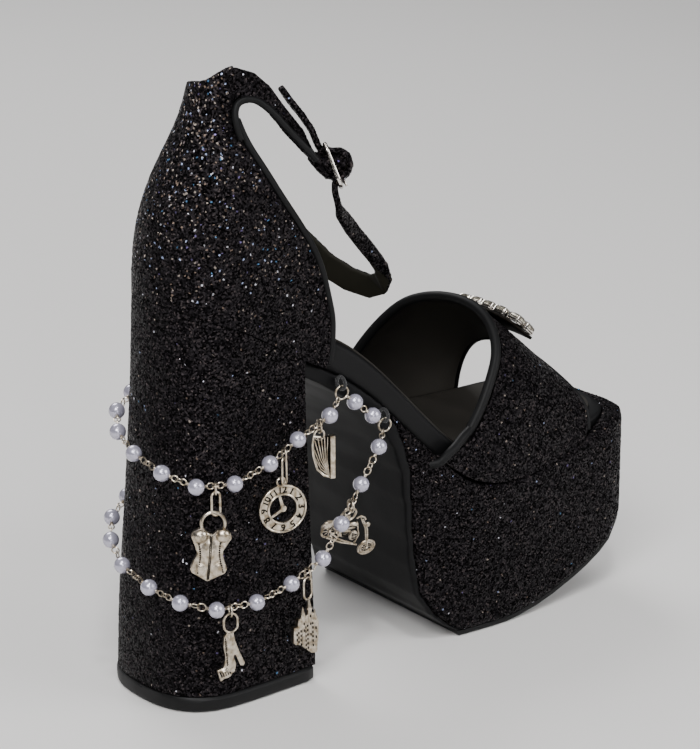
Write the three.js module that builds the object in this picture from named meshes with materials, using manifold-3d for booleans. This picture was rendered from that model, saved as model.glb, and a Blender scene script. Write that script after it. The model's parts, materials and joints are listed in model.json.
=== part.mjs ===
// Right platform sandal with a tall block heel, a buckled ankle strap, a crystal brooch
// and two pearl chains with charms.
// Millimetres. +X to the toe, +Y to the shoe's left (inner side), +Z up.
// The origin is on the floor, at the middle of the heel's top piece.
import * as THREE from 'three';
import { mergeVertices } from 'three/addons/utils/BufferGeometryUtils.js';
import Module from 'manifold-3d';

const wasm = await Module();
wasm.setup();

// Driving dimensions
const GAP = 0.3;
const HEEL_SEAM_BACK = 148;
const TOP_PIECE_HEIGHT = 5.5;
const COUNTER_WALL = 2.4;
const VAMP_WALL = 2;
const VAMP_SQUARENESS = 2.4;
const PLATFORM_BOTTOM = 2.1;
const OUTSOLE_THICKNESS = 1.8;
const SOCK_THICKNESS = 1;
const STRAP_WIDTH = 10.2;
const STRAP_THICKNESS = 2.2;
const VAMP_PIPING_RADIUS = 1.8;
const COUNTER_BINDING_RADIUS = 1.15;
const FRONT_BINDING_RADIUS = 0.9;
const PEARL_RADIUS = 3;
const WIRE_RADIUS = 0.5;
const CHAIN_CLEARANCE = 3.8;
const JUMP_RING_RADIUS = 2.4;
const JUMP_RING_WIRE = 0.45;
const STONE_SIZE = 6;
const TOE_TIP = 183.4;

// Colours, roughness and metalness of the materials
const FINISH = {
  glitter: { color: 0x141417, roughness: 0.7, metalness: 0.3 },
  leather: { color: 0x1b1b1d, roughness: 0.55, metalness: 0 },
  rubber: { color: 0x121213, roughness: 0.6, metalness: 0 },
  silver: { color: 0xc9c2b6, roughness: 0.3, metalness: 1 },
  pearl: { color: 0xe9e6ee, roughness: 0.25, metalness: 0 },
  crystal: { color: 0xd8cfc4, roughness: 0.1, metalness: 0 },
  cord: { color: 0x101012, roughness: 0.8, metalness: 0 },
};

// Outer form of heel and counter by height: a squared half round at the back and straight sides.
// half: half width, centre: where the half round starts, depth: how far it reaches back
const BACK_FORM = [
  { z: 0, half: 29.4, centre: -2, depth: 28.2, square: 2.6 },
  { z: 30, half: 28.6, centre: -1.8, depth: 27.8, square: 2.5 },
  { z: 69, half: 27.3, centre: 0, depth: 26.5, square: 2.4 },
  { z: 106, half: 26.7, centre: 1.2, depth: 25.5, square: 2.2 },
  { z: 132, half: 26.2, centre: 2.3, depth: 25.2, square: 2.1 },
  { z: 146, half: 25.9, centre: 3, depth: 25.9, square: 2 },
  { z: 161, half: 25.9, centre: 3.5, depth: 25.9, square: 2 },
  { z: 175, half: 24.9, centre: 5.2, depth: 24.9, square: 2 },
  { z: 189, half: 21.9, centre: 8, depth: 21.9, square: 2 },
  { z: 200, half: 18.4, centre: 11, depth: 18.4, square: 2 },
  { z: 211, half: 14.8, centre: 13.2, depth: 14.8, square: 2 },
  { z: 228, half: 13.2, centre: 14.6, depth: 13.2, square: 2 },
];
const HEEL_FRONT = [
  { z: 0, x: 28.6 },
  { z: 60, x: 27.9 },
  { z: 110, x: 26.6 },
  { z: 150, x: 26.3 },
];
// Seam between heel and counter, and the line of the foot on the insole board
const SEAM = [
  { x: -24, z: HEEL_SEAM_BACK },
  { x: -20, z: 146.5 },
  { x: -10, z: 141.8 },
  { x: -2, z: 138.5 },
  { x: 9, z: 132.5 },
  { x: 16, z: 128 },
  { x: 26, z: 122 },
  { x: 38, z: 116 },
];
const FOOT_LINE = [
  { x: -21, z: 157.4 },
  { x: -10, z: 153 },
  { x: 0, z: 148.3 },
  { x: 10, z: 142.6 },
  { x: 20, z: 136.8 },
  { x: 30, z: 131.4 },
  { x: 42.8, z: 125.1 },
  { x: 50.5, z: 120.3 },
  { x: 59.3, z: 113.4 },
  { x: 66.5, z: 105.8 },
  { x: 74.7, z: 97.1 },
  { x: 81.8, z: 89.6 },
  { x: 88.8, z: 82 },
  { x: 94.8, z: 75.8 },
  { x: 101, z: 71 },
  { x: 108, z: 68 },
  { x: 118, z: 66.5 },
  { x: 130, z: 66.4 },
  { x: 145, z: 67.8 },
  { x: 160, z: 69.8 },
  { x: 180, z: 72.4 },
];
// Top of the platform, which the board lies on and the vamp is lasted to
const PLATFORM_TOP = [
  { x: 27, z: 121.2 },
  { x: 40, z: 114.2 },
  { x: 50, z: 108 },
  { x: 60, z: 99.8 },
  { x: 70, z: 89 },
  { x: 78, z: 80.4 },
  { x: 86, z: 72 },
  { x: 92, z: 66.4 },
  { x: 98, z: 61.6 },
  { x: 104, z: 58.6 },
  { x: 112, z: 57 },
  { x: 121, z: 56.8 },
  { x: 131, z: 57.4 },
  { x: 141, z: 59.3 },
  { x: 156, z: 63.6 },
  { x: 170, z: 70 },
  { x: 190, z: 74.4 },
];
const TOE_SPRING = [
  { x: 90, z: 0 },
  { x: 118, z: 0 },
  { x: 124, z: 0.8 },
  { x: 133, z: 2.5 },
  { x: 142, z: 5 },
  { x: 152, z: 8.6 },
  { x: 160, z: 12.1 },
  { x: 167, z: 16 },
  { x: 172, z: 19.8 },
  { x: 176, z: 24.6 },
  { x: 179, z: 28.6 },
  { x: 190, z: 40 },
];
// Underside of the arch and back of the platform, down to the floor. skin: leather cover, along x.
// slant: how far the face runs forward for each millimetre to the left
const ARCH_UNDERSIDE = [
  { x: 27, z: 115.4, skin: 0, slant: 0 },
  { x: 36, z: 110.4, skin: 0, slant: 0 },
  { x: 46, z: 103.6, skin: 0, slant: 0 },
  { x: 55, z: 96, skin: 0, slant: 0 },
  { x: 61.5, z: 89.4, skin: 6, slant: 0.01 },
  { x: 66.2, z: 81.5, skin: 4.4, slant: 0.03 },
  { x: 69.4, z: 72, skin: 3.8, slant: 0.06 },
  { x: 71, z: 60, skin: 3.1, slant: 0.1 },
  { x: 72.2, z: 46, skin: 2.8, slant: 0.13 },
  { x: 73.6, z: 32, skin: 2.6, slant: 0.145 },
  { x: 75.6, z: 22, skin: 2.4, slant: 0.15 },
  { x: 81, z: 13, skin: 2.2, slant: 0.11 },
  { x: 88, z: 6, skin: 2, slant: 0.06 },
  { x: 94, z: PLATFORM_BOTTOM, skin: 2, slant: 0.04 },
];
const SLANT_START = -28;
const COVER_TAIL = 61.5;
// Outline of arch and platform, and of the insole board, seen from above
const PLATFORM_PLAN = [
  { x: 27, right: -23.5, left: 24.5 },
  { x: 40, right: -23.5, left: 25.6 },
  { x: 52, right: -24.6, left: 28.4 },
  { x: 62, right: -26.6, left: 33 },
  { x: 72, right: -29.2, left: 39.2 },
  { x: 85, right: -32.4, left: 46.4 },
  { x: 97, right: -34.6, left: 50.8 },
  { x: 110, right: -35.8, left: 52 },
  { x: 122, right: -36.3, left: 49.8 },
  { x: 134, right: -36.5, left: 46 },
  { x: 146, right: -36.4, left: 41.6 },
  { x: 156, right: -36.4, left: 38 },
  { x: 165, right: -36.4, left: 35 },
  { x: 172, right: -36.2, left: 31.6 },
  { x: 177.5, right: -34.8, left: 26.4 },
  { x: 181.4, right: -30.4, left: 18 },
  { x: TOE_TIP, right: -20, left: 6 },
];
const BOARD_PLAN = [
  { x: -19.5, right: -2, left: 2 },
  { x: -18.6, right: -6.5, left: 6.5 },
  { x: -17, right: -10.5, left: 10.5 },
  { x: -14.5, right: -14.1, left: 14.1 },
  { x: -10, right: -18.5, left: 18.5 },
  { x: -4, right: -21.6, left: 21.6 },
  { x: 3, right: -22.9, left: 22.9 },
  { x: 14, right: -23.2, left: 23.2 },
  { x: 27, right: -23.3, left: 23.3 },
  { x: 40, right: -23.2, left: 23.3 },
  { x: 46, right: -23.5, left: 23.8 },
  { x: 52, right: -24, left: 25.6 },
  { x: 62, right: -25.2, left: 30 },
  { x: 75, right: -26.8, left: 36.2 },
  { x: 88, right: -27.8, left: 42 },
  { x: 100, right: -29.6, left: 45.8 },
  { x: 112, right: -31.6, left: 47.2 },
  { x: 124, right: -32, left: 44.8 },
  { x: 136, right: -32, left: 40.8 },
  { x: 148, right: -31.9, left: 36.2 },
  { x: 158, right: -31.6, left: 32.4 },
  { x: 164, right: -31.2, left: 30.2 },
  { x: 170.6, right: -29.6, left: 26.4 },
  { x: 175.4, right: -26, left: 20.6 },
  { x: 178.8, right: -19.6, left: 13 },
  { x: 180.2, right: -9.8, left: 3 },
];
// Upper edge of the counter's opening: turn 0 at the back, 1 at the front of each side
const OPENING = [
  { turn: 0.352, z: 208.5 },
  { turn: 0.4, z: 203.8 },
  { turn: 0.48, z: 197.5 },
  { turn: 0.56, z: 192 },
  { turn: 0.694, z: 180 },
  { turn: 0.849, z: 165 },
  { turn: 0.93, z: 154 },
  { turn: 0.975, z: 142.5 },
  { turn: 1, z: 135 },
];
const COUNTER_FRONT = [
  { z: 114, x: 34.8 },
  { z: 120, x: 37.2 },
  { z: 126, x: 38.2 },
  { z: 140, x: 38.6 },
  { z: 228, x: 38.6 },
];
const COLLAR_TURN = 0.34;
const STRAP_TURN = 0.365;
// The collar and the strap's root are higher on the outer side, which the buckle's strap pulls up
const COLLAR = { right: 227, back: 220.9, left: 218.4 };
const OPENING_DROP = { right: 0, left: 4.4 };
const STRAP_ROOT = {
  right: { low: 213.4, high: 226.6 },
  left: { low: 206.2, high: 217 },
};

// Crown and sides of the vamp by length, and the lines of its two edges by angle over the foot
const VAMP_FORM = [
  { x: 80, crown: 82, right: -31.4, left: 44 },
  { x: 94, crown: 92, right: -34.2, left: 49.6 },
  { x: 103, crown: 99.5, right: -35.2, left: 51.4 },
  { x: 110, crown: 109, right: -35.7, left: 51.9 },
  { x: 117, crown: 115.5, right: -36, left: 51 },
  { x: 123, crown: 118.4, right: -36.2, left: 49.4 },
  { x: 128, crown: 118, right: -36.3, left: 48 },
  { x: 134, crown: 113.4, right: -36.3, left: 45.8 },
  { x: 140, crown: 107.6, right: -36.3, left: 43.7 },
  { x: 149, crown: 98.8, right: -36.2, left: 40.2 },
  { x: 160, crown: 88, right: -35.4, left: 35.6 },
  { x: 166, crown: 82, right: -34.4, left: 32.8 },
];
const VAMP_REAR = [
  { angle: 0, x: 84 },
  { angle: 10, x: 88 },
  { angle: 17, x: 94.5 },
  { angle: 24, x: 103 },
  { angle: 30, x: 110.5 },
  { angle: 37, x: 117 },
  { angle: 47, x: 123.5 },
  { angle: 62, x: 127.6 },
  { angle: 78, x: 128.8 },
  { angle: 92, x: 127.8 },
  { angle: 106, x: 125 },
  { angle: 118, x: 121.5 },
  { angle: 130, x: 117.5 },
  { angle: 142, x: 112.5 },
  { angle: 154, x: 107 },
  { angle: 166, x: 102 },
  { angle: 180, x: 98 },
];
const VAMP_FRONT = [
  { angle: 0, x: 157.6 },
  { angle: 14, x: 159.4 },
  { angle: 30, x: 159.6 },
  { angle: 44, x: 158.4 },
  { angle: 58, x: 155.4 },
  { angle: 70, x: 152 },
  { angle: 82, x: 149.6 },
  { angle: 96, x: 149 },
  { angle: 112, x: 149.8 },
  { angle: 130, x: 151.6 },
  { angle: 150, x: 153.4 },
  { angle: 166, x: 154 },
  { angle: 180, x: 154 },
];

// Buckle: its middle, the way along the strap, across it, and out of it
const BUCKLE = new THREE.Vector3(39.9, -25.8, 190.1);
const BUCKLE_DOWN = new THREE.Vector3(0.093, -0.464, -0.882).normalize();
const BUCKLE_ACROSS = new THREE.Vector3(0.61, 0.727, -0.317).normalize();
const BUCKLE_OUT = new THREE.Vector3().crossVectors(BUCKLE_DOWN, BUCKLE_ACROSS).normalize();
const FRAME_HALF_LENGTH = 7.6;
const FRAME_HALF_WIDTH = 6.9;
const FRAME_WIRE = 0.85;
const BAR_WIRE = 0.8;
const PRONG_WIRE = 0.55;
const STRAP_KNUCKLE = 3.1;
const FRAME_CORNER = 2.2;
// Strap edges between counter and buckle: upper edge a, lower edge b
const SHORT_STRAP = [
  { ax: 15.6, ay: -13.2, az: 224.2, bx: 14.2, by: -15.3, bz: 214.8 },
  { ax: 20.9, ay: -14.6, az: 219, bx: 18, by: -18.2, bz: 210.4 },
  { ax: 26.2, ay: -16.6, az: 210.6, bx: 22, by: -22.4, bz: 203.6 },
  { ax: 31.4, ay: -18.6, az: 203, bx: 26, by: -26, bz: 198 },
];
const LONG_STRAP_FAR = [
  { ax: 16.6, ay: 15, az: 210.4, bx: 13.4, by: 17, bz: 200.6 },
  { ax: 29, ay: 20.2, az: 197, bx: 25, by: 23, bz: 188 },
  { ax: 45, ay: 23.4, az: 178, bx: 40.6, by: 27.2, bz: 169.5 },
  { ax: 61, ay: 22.6, az: 158.5, bx: 57.4, by: 27.4, bz: 150.2 },
  { ax: 75.6, ay: 18, az: 142.2, bx: 73.4, by: 23.4, bz: 133.9 },
  { ax: 80.2, ay: 11, az: 137.6, bx: 79.2, by: 15, bz: 128.3 },
  { ax: 83, ay: 5, az: 135.8, bx: 84.4, by: 6.8, bz: 126 },
  { ax: 81.6, ay: 0, az: 137.6, bx: 87, by: 0, bz: 129 },
  { ax: 77, ay: -4.4, az: 141.2, bx: 85.6, by: -4.6, bz: 135.4 },
  { ax: 71, ay: -8.4, az: 145.8, bx: 80.8, by: -7.6, bz: 143.4 },
  { ax: 62.2, ay: -13, az: 153.2, bx: 72, by: -10.4, bz: 152.4 },
  { ax: 51, ay: -20, az: 162.3, bx: 60.4, by: -16.4, bz: 161.8 },
  { ax: 42.6, ay: -25.2, az: 170.6, bx: 51.2, by: -19.8, bz: 170.4 },
];
// The long strap through the buckle and its free tip, in the buckle's own directions
const LONG_STRAP_NEAR = [
  { down: 13.4, out: -3.4, across: 1.4 },
  { down: 8.4, out: -2.7, across: 0.4 },
  { down: 6, out: -1.8, across: 0 },
  { down: 5, out: 0.4, across: 0 },
  { down: 4, out: 3.8, across: 0 },
  { down: 1.8, out: 5.8, across: 0 },
  { down: -1.4, out: 6, across: 0 },
  { down: -3.8, out: 4.2, across: 0 },
  { down: -5.1, out: 0.4, across: 0 },
  { down: -6.2, out: -1.9, across: 0 },
  { down: -8.8, out: -2.3, across: 0 },
  { down: -14.6, out: -2.4, across: 0 },
  { down: -21.2, out: -3.9, across: 0 },
  { down: -26.3, out: -5.5, across: 0 },
  { down: -30.4, out: -6.5, across: 0 },
  { down: -32.2, out: -6.9, across: 0 },
];
const TIP_WIDTH = 5;

// Pearl centres. turn and z: on the heel; x, y and z: where the chain hangs free
const UPPER_PEARLS = [
  { x: 35.4, y: -29.2, z: 100.4 },
  { turn: -0.859, z: 95.4 },
  { turn: -0.617, z: 89.4 },
  { turn: -0.423, z: 85.3 },
  { turn: -0.27, z: 85.3 },
  { turn: -0.125, z: 89 },
  { turn: 0.004, z: 92.8 },
  { turn: 0.13, z: 96.8 },
  { turn: 0.26, z: 100.6 },
  { turn: 0.4, z: 103.6 },
  { turn: 0.58, z: 105.4 },
  { turn: 0.84, z: 106 },
  { x: 35.6, y: 30.4, z: 104.6 },
];
const LOWER_PEARLS = [
  { x: 54.1, y: -34.2, z: 85.6 },
  { x: 47.1, y: -32.6, z: 72.5 },
  { x: 35.2, y: -35.8, z: 61.2 },
  { x: 28.6, y: -33.4, z: 48.8 },
  { turn: -0.78, z: 42.2 },
  { turn: -0.515, z: 39.4 },
  { turn: -0.366, z: 40.1 },
  { turn: -0.218, z: 43 },
  { turn: -0.08, z: 46.4 },
  { turn: 0.036, z: 50 },
  { turn: 0.15, z: 55.4 },
  { turn: 0.27, z: 60 },
  { turn: 0.4, z: 64 },
  { turn: 0.57, z: 67 },
  { turn: 0.82, z: 69.6 },
  { x: 32.6, y: 34.4, z: 72.4 },
  { x: 44.6, y: 36.6, z: 77.6 },
  { x: 54.8, y: 38.6, z: 84.4 },
];
const ARCH_PEARLS_RIGHT = [
  { x: 47.7, y: -28.4, z: 102.5 },
  { x: 55.1, y: -29.6, z: 96 },
];
const ARCH_PEARLS_LEFT = [
  { x: 47.7, y: 31.4, z: 102.5 },
  { x: 55.1, y: 34.4, z: 96 },
];
// Rings that hold the chains at the arch, each through a stitched loop on the edge of the arch
const HOLDERS = [
  { name: 'rear_right', side: -1, x: 42.4, y: -27, z: 110.5 },
  { name: 'front_right', side: -1, x: 60.4, y: -29.6, z: 95 },
  { name: 'rear_left', side: 1, x: 42.4, y: 29.4, z: 110.5 },
  { name: 'front_left', side: 1, x: 60.4, y: 35.6, z: 95 },
];

// A smooth value from a short table, whose rows rise in their key column
function reader(rows, key, column) {
  const keys = rows.map((row) => row[key]);
  const values = rows.map((row) => row[column]);
  const steps = keys.slice(1).map((k, i) => (values[i + 1] - values[i]) / (k - keys[i]));
  const slopes = values.map((value, i) => {
    const before = steps[Math.max(i - 1, 0)];
    const after = steps[Math.min(i, steps.length - 1)];
    return before * after <= 0 ? 0 : (2 * before * after) / (before + after);
  });
  return (at) => {
    const k = Math.min(Math.max(at, keys[0]), keys[keys.length - 1]);
    const i = Math.min(keys.findLastIndex((v) => v <= k), keys.length - 2);
    const span = keys[i + 1] - keys[i];
    const t = (k - keys[i]) / span;
    const a = (2 * t ** 3 - 3 * t ** 2 + 1) * values[i];
    const b = (t ** 3 - 2 * t ** 2 + t) * span * slopes[i];
    const c = (3 * t ** 2 - 2 * t ** 3) * values[i + 1];
    const d = (t ** 3 - t ** 2) * span * slopes[i + 1];
    return a + b + c + d;
  };
}

const point = (x, y, z) => new THREE.Vector3(x, y, z);

// A closed body from points and triangles, turned so that its faces point out
function body(points, faces) {
  let volume = 0;
  for (const [a, b, c] of faces) {
    volume += points[a].dot(new THREE.Vector3().crossVectors(points[b], points[c]));
  }
  const turned = volume < 0 ? faces.map(([a, b, c]) => [a, c, b]) : faces;
  const geometry = new THREE.BufferGeometry();
  const flat = points.flatMap((p) => [p.x, p.y, p.z]);
  geometry.setAttribute('position', new THREE.Float32BufferAttribute(flat, 3));
  geometry.setIndex(turned.flat());
  return geometry;
}

// A body through rings of equal length. caps: fan for round ends, strip for ends that mirror
// about their middle, loop where the last ring meets the first
function loft(rings, caps = 'fan') {
  const count = rings[0].length;
  const points = rings.flat();
  const faces = [];
  const last = caps === 'loop' ? rings.length : rings.length - 1;
  for (let i = 0; i < last; i += 1) {
    const next = (i + 1) % rings.length;
    for (let j = 0; j < count; j += 1) {
      const k = (j + 1) % count;
      faces.push([i * count + j, i * count + k, next * count + k]);
      faces.push([i * count + j, next * count + k, next * count + j]);
    }
  }
  if (caps === 'loop') return body(points, faces);
  const first = (j) => j;
  const end = (j) => (rings.length - 1) * count + j;
  for (const [index, flip] of [[first, true], [end, false]]) {
    const cap = [];
    if (caps === 'strip') {
      for (let j = 0; j < count / 2 - 1; j += 1) {
        cap.push([index(j), index(j + 1), index(count - 2 - j)]);
        cap.push([index(j), index(count - 2 - j), index(count - 1 - j)]);
      }
    } else {
      const middle = points.length;
      const ring = rings[flip ? 0 : rings.length - 1];
      points.push(ring.reduce((sum, p) => sum.add(p), point(0, 0, 0)).divideScalar(count));
      for (let j = 0; j < count; j += 1) cap.push([middle, index(j), index((j + 1) % count)]);
    }
    faces.push(...cap.map(([a, b, c]) => (flip ? [a, c, b] : [a, b, c])));
  }
  return body(points, faces);
}

// A hollow wall between an outer and an inner grid of points
function wall(outer, inner) {
  const rows = outer.length;
  const count = outer[0].length;
  const points = [...outer.flat(), ...inner.flat()];
  const out = (i, j) => i * count + j;
  const inn = (i, j) => rows * count + i * count + j;
  const faces = [];
  const quad = (a, b, c, d) => faces.push([a, b, c], [a, c, d]);
  for (let i = 0; i < rows - 1; i += 1) {
    for (let j = 0; j < count - 1; j += 1) {
      quad(out(i, j), out(i + 1, j), out(i + 1, j + 1), out(i, j + 1));
      quad(inn(i, j), inn(i, j + 1), inn(i + 1, j + 1), inn(i + 1, j));
    }
    const m = count - 1;
    quad(out(i + 1, 0), out(i, 0), inn(i, 0), inn(i + 1, 0));
    quad(out(i, m), out(i + 1, m), inn(i + 1, m), inn(i, m));
  }
  const m = rows - 1;
  for (let j = 0; j < count - 1; j += 1) {
    quad(out(0, j), out(0, j + 1), inn(0, j + 1), inn(0, j));
    quad(out(m, j + 1), out(m, j), inn(m, j), inn(m, j + 1));
  }
  return body(points, faces);
}

// A slab along x: each row has its right and left edge and its lower and upper face
function slab(rows) {
  const rings = rows.map(({ x, right, left, low, high }) => [
    point(x, right, low),
    point(x, left, low),
    point(x, left, high),
    point(x, right, high),
  ]);
  return loft(rings);
}

// A tube of one radius along a smooth line through the given points
function tube(points, radius, sides, steps) {
  const section = new THREE.Shape();
  section.absarc(0, 0, radius, 0, Math.PI * 2);
  const path = new THREE.CatmullRomCurve3(points, false, 'centripetal');
  return new THREE.ExtrudeGeometry(section, {
    steps,
    curveSegments: sides / 2,
    bevelEnabled: false,
    extrudePath: path,
  });
}

// A flat strap through its two edges
function strap(edges, thickness) {
  const middles = edges.map(({ a, b }) => a.clone().add(b).multiplyScalar(0.5));
  const rings = edges.map(({ a, b }, i) => {
    const ahead = middles[Math.min(i + 1, edges.length - 1)];
    const behind = middles[Math.max(i - 1, 0)];
    const along = ahead.clone().sub(behind);
    const half = along.cross(b.clone().sub(a)).normalize().multiplyScalar(thickness / 2);
    const corner = half.clone().multiplyScalar(0.55);
    const edge = b.clone().sub(a).normalize().multiplyScalar(thickness * 0.25);
    return [
      a.clone().add(corner),
      a.clone().add(edge).add(half),
      b.clone().sub(edge).add(half),
      b.clone().add(corner),
      b.clone().sub(corner),
      b.clone().sub(edge).sub(half),
      a.clone().add(edge).sub(half),
      a.clone().sub(corner),
    ];
  });
  return loft(rings);
}

// Solids for cutting and joining
function toSolid(geometry) {
  const bare = geometry.clone();
  bare.deleteAttribute('normal');
  bare.deleteAttribute('uv');
  const merged = mergeVertices(bare, 1e-4);
  return new wasm.Manifold(new wasm.Mesh({
    numProp: 3,
    vertProperties: new Float32Array(merged.attributes.position.array),
    triVerts: new Uint32Array(merged.index.array),
  }));
}

function toGeometry(solid) {
  const mesh = solid.getMesh();
  const geometry = new THREE.BufferGeometry();
  geometry.setAttribute('position', new THREE.BufferAttribute(mesh.vertProperties, 3));
  geometry.setIndex(new THREE.BufferAttribute(mesh.triVerts, 1));
  return geometry;
}

const join = (...parts) => toGeometry(parts.map(toSolid).reduce((a, b) => a.add(b)));
const cut = (part, ...tools) => toGeometry(tools.map(toSolid).reduce((a, b) => a.subtract(b), toSolid(part)));
const common = (a, b) => toGeometry(toSolid(a).intersect(toSolid(b)));

const group = new THREE.Group();
function add(name, geometry, finish, parent = group) {
  const mesh = new THREE.Mesh(geometry, new THREE.MeshStandardMaterial(FINISH[finish]));
  mesh.name = name;
  parent.add(mesh);
  return mesh;
}

// Heel and counter share one outer form
const form = {
  half: reader(BACK_FORM, 'z', 'half'),
  centre: reader(BACK_FORM, 'z', 'centre'),
  depth: reader(BACK_FORM, 'z', 'depth'),
  square: reader(BACK_FORM, 'z', 'square'),
  heelFront: reader(HEEL_FRONT, 'z', 'x'),
  counterFront: reader(COUNTER_FRONT, 'z', 'x'),
};
const seam = reader(SEAM, 'x', 'z');
const footLine = reader(FOOT_LINE, 'x', 'z');
const platformTop = reader(PLATFORM_TOP, 'x', 'z');
const toeSpring = reader(TOE_SPRING, 'x', 'z');
const opening = reader(OPENING, 'turn', 'z');

// A point of the outer form: turn -1 at the right front, 0 at the back, 1 at the left front
function backPoint(turn, z, inset = 0, front = form.heelFront) {
  const side = Math.sign(turn);
  const share = Math.abs(turn);
  const half = form.half(z) - inset;
  const depth = form.depth(z) - inset;
  const centre = form.centre(z);
  if (share > 0.5) {
    const x = THREE.MathUtils.lerp(centre, front(z), (share - 0.5) / 0.5);
    return point(x, side * half, z);
  }
  const angle = share * Math.PI;
  const power = 2 / form.square(z);
  const x = centre - depth * Math.cos(angle) ** power;
  return point(x, side * half * Math.sin(angle) ** power, z);
}

// The height at which a column of the outer form meets the seam
function seamHeight(turn, front) {
  let z = 130;
  for (let i = 0; i < 12; i += 1) z = seam(backPoint(turn, z, 0, front).x);
  return z;
}

const HALF_TURNS = [0, 0.07, 0.14, 0.21, 0.28, 0.35, 0.42, 0.5, 0.75, 1];
const HEEL_TURNS = [...HALF_TURNS.slice(1).reverse().map((t) => -t), ...HALF_TURNS];

function heelRing(height, grow = 0) {
  return HEEL_TURNS.map((turn) => {
    const z = height ?? seamHeight(turn, form.heelFront) - GAP / 2;
    return backPoint(turn, z, -grow);
  });
}

function makeHeel() {
  const start = TOP_PIECE_HEIGHT + GAP;
  const heights = [start, 20, 38, 60, 82, 102, 114];
  add('heel_block', loft([...heights.map((z) => heelRing(z, -0.4)), heelRing(null)], 'strip'), 'glitter');
  const piece = [0, TOP_PIECE_HEIGHT].map((z) => heelRing(z, z === 0 ? -0.5 : 0));
  piece.splice(1, 0, heelRing(0.8));
  piece[1].forEach((p) => p.setZ(0.8));
  add('heel_top_piece', loft(piece, 'strip'), 'rubber');
}

// Plan prism of the platform and side solids that cut it
function planPrism(rows, grow, low, high) {
  const shape = new THREE.Shape();
  const right = rows.map((r) => new THREE.Vector2(r.x, r.right - grow));
  const left = rows.map((r) => new THREE.Vector2(r.x, r.left + grow)).reverse();
  const tip = right[right.length - 1];
  tip.x += grow;
  left[0].x += grow;
  shape.setFromPoints([...right, ...left]);
  const prism = new THREE.ExtrudeGeometry(shape, { depth: high - low, bevelEnabled: false });
  return prism.translate(0, 0, low);
}

const SIDE_RIGHT = -50;
const SIDE_LEFT = 65;
function sideSolid(profile) {
  const flat = profile.map((p) => new THREE.Vector2(p.x, p.z));
  const faces = THREE.ShapeUtils.triangulateShape(flat, []);
  const count = profile.length;
  const at = (y) => profile.map((p) => point(p.x + (p.slant ?? 0) * (y - SLANT_START), y, p.z));
  const points = [...at(SIDE_RIGHT), ...at(SIDE_LEFT)];
  const all = faces.map(([a, b, c]) => [a, c, b]);
  all.push(...faces.map(([a, b, c]) => [a + count, b + count, c + count]));
  for (let j = 0; j < count; j += 1) {
    const k = (j + 1) % count;
    if (profile[j].z > profile[k].z) all.push([j, k, count + k], [j, count + k, count + j]);
    else all.push([j, k, count + j], [k, count + k, count + j]);
  }
  return body(points, all);
}

function makePlatform() {
  const tail = ARCH_UNDERSIDE.findIndex((p) => p.x >= COVER_TAIL);
  const inner = ARCH_UNDERSIDE.slice(tail).map((p) => ({ x: p.x + p.skin, z: p.z, slant: p.slant }));
  const boardLine = [28, 36, 44, 52, COVER_TAIL].map((x) => ({ x, z: platformTop(x) }));
  const cover = [
    ...ARCH_UNDERSIDE.map((p) => ({ x: p.x, z: p.z, slant: p.slant })),
    ...inner.slice().reverse(),
    ...boardLine.slice().reverse(),
    { x: 27, z: platformTop(27) },
  ];
  const prism = planPrism(PLATFORM_PLAN, 0, -5, 140);
  add('arch_cover', common(prism, sideSolid(cover)), 'leather');

  const back = inner.map((p) => ({ x: p.x + GAP, z: p.z, slant: p.slant }));
  const top = PLATFORM_TOP.filter((p) => p.x > 66).map((p) => ({ x: p.x, z: p.z }));
  const floor = TOE_SPRING.filter((p) => p.x > 100).map((p) => ({ x: p.x, z: p.z + PLATFORM_BOTTOM }));
  const core = [
    { x: COVER_TAIL + 1.4, z: platformTop(COVER_TAIL + 1.4) },
    ...back,
    ...floor,
    ...top.slice().reverse(),
  ];
  const toe = BOARD_PLAN.filter((r) => r.x > 130).map((r) => ({
    x: r.x + (r.x > 170 ? GAP : 0),
    right: r.right - GAP,
    left: r.left + GAP,
    low: boardBottom(r.x) - GAP,
    high: 90,
  }));
  add('platform', cut(common(prism, sideSolid(core)), slab(toe)), 'glitter');

  const sole = TOE_SPRING.filter((p) => p.x > 100);
  const under = [
    { x: 95, z: 0, slant: 0.04 },
    ...sole.map((p) => ({ x: p.x, z: p.z })),
    ...sole.map((p) => ({ x: p.x, z: p.z + OUTSOLE_THICKNESS })).reverse(),
    { x: 94, z: OUTSOLE_THICKNESS, slant: 0.04 },
  ];
  add('outsole', common(planPrism(PLATFORM_PLAN, -0.6, -5, 60), sideSolid(under)), 'rubber');
}

// The board lies on the heel and the platform, and sinks into the toe's rim
const TOE_POCKET = [
  { x: 130, depth: 0 },
  { x: 150, depth: 0.3 },
  { x: 165, depth: 3.4 },
  { x: 180, depth: 4.4 },
];
const pocket = reader(TOE_POCKET, 'x', 'depth');
function boardBottom(x) {
  if (x < 27) return seam(x) + GAP / 2;
  return platformTop(x) + GAP - (x > 130 ? pocket(x) : 0);
}

const SOCK_INSET_HEEL = 2;
const SOCK_INSET_FOREFOOT = 4.2;
function makeInsole() {
  const rows = BOARD_PLAN.map((r) => ({ ...r, low: boardBottom(r.x), high: footLine(r.x) }));
  add('insole_board', slab(rows), 'leather');
  const inset = (x) => (x > 90 ? SOCK_INSET_FOREFOOT : SOCK_INSET_HEEL);
  const sock = BOARD_PLAN.map((r) => {
    const shift = THREE.MathUtils.clamp((60 - r.x) / 40, -1, 1);
    return {
      x: r.x + (r.x < 0 || r.x > 160 ? 2.6 * shift : 0),
      right: r.right + inset(r.x) * Math.min(1, -r.right / 12),
      left: r.left - inset(r.x) * Math.min(1, r.left / 12),
      low: 0,
      high: 0,
    };
  });
  sock.forEach((r) => {
    r.low = footLine(r.x) + GAP;
    r.high = r.low + SOCK_THICKNESS;
  });
  add('sock_lining', slab(sock), 'leather');
}

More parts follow.
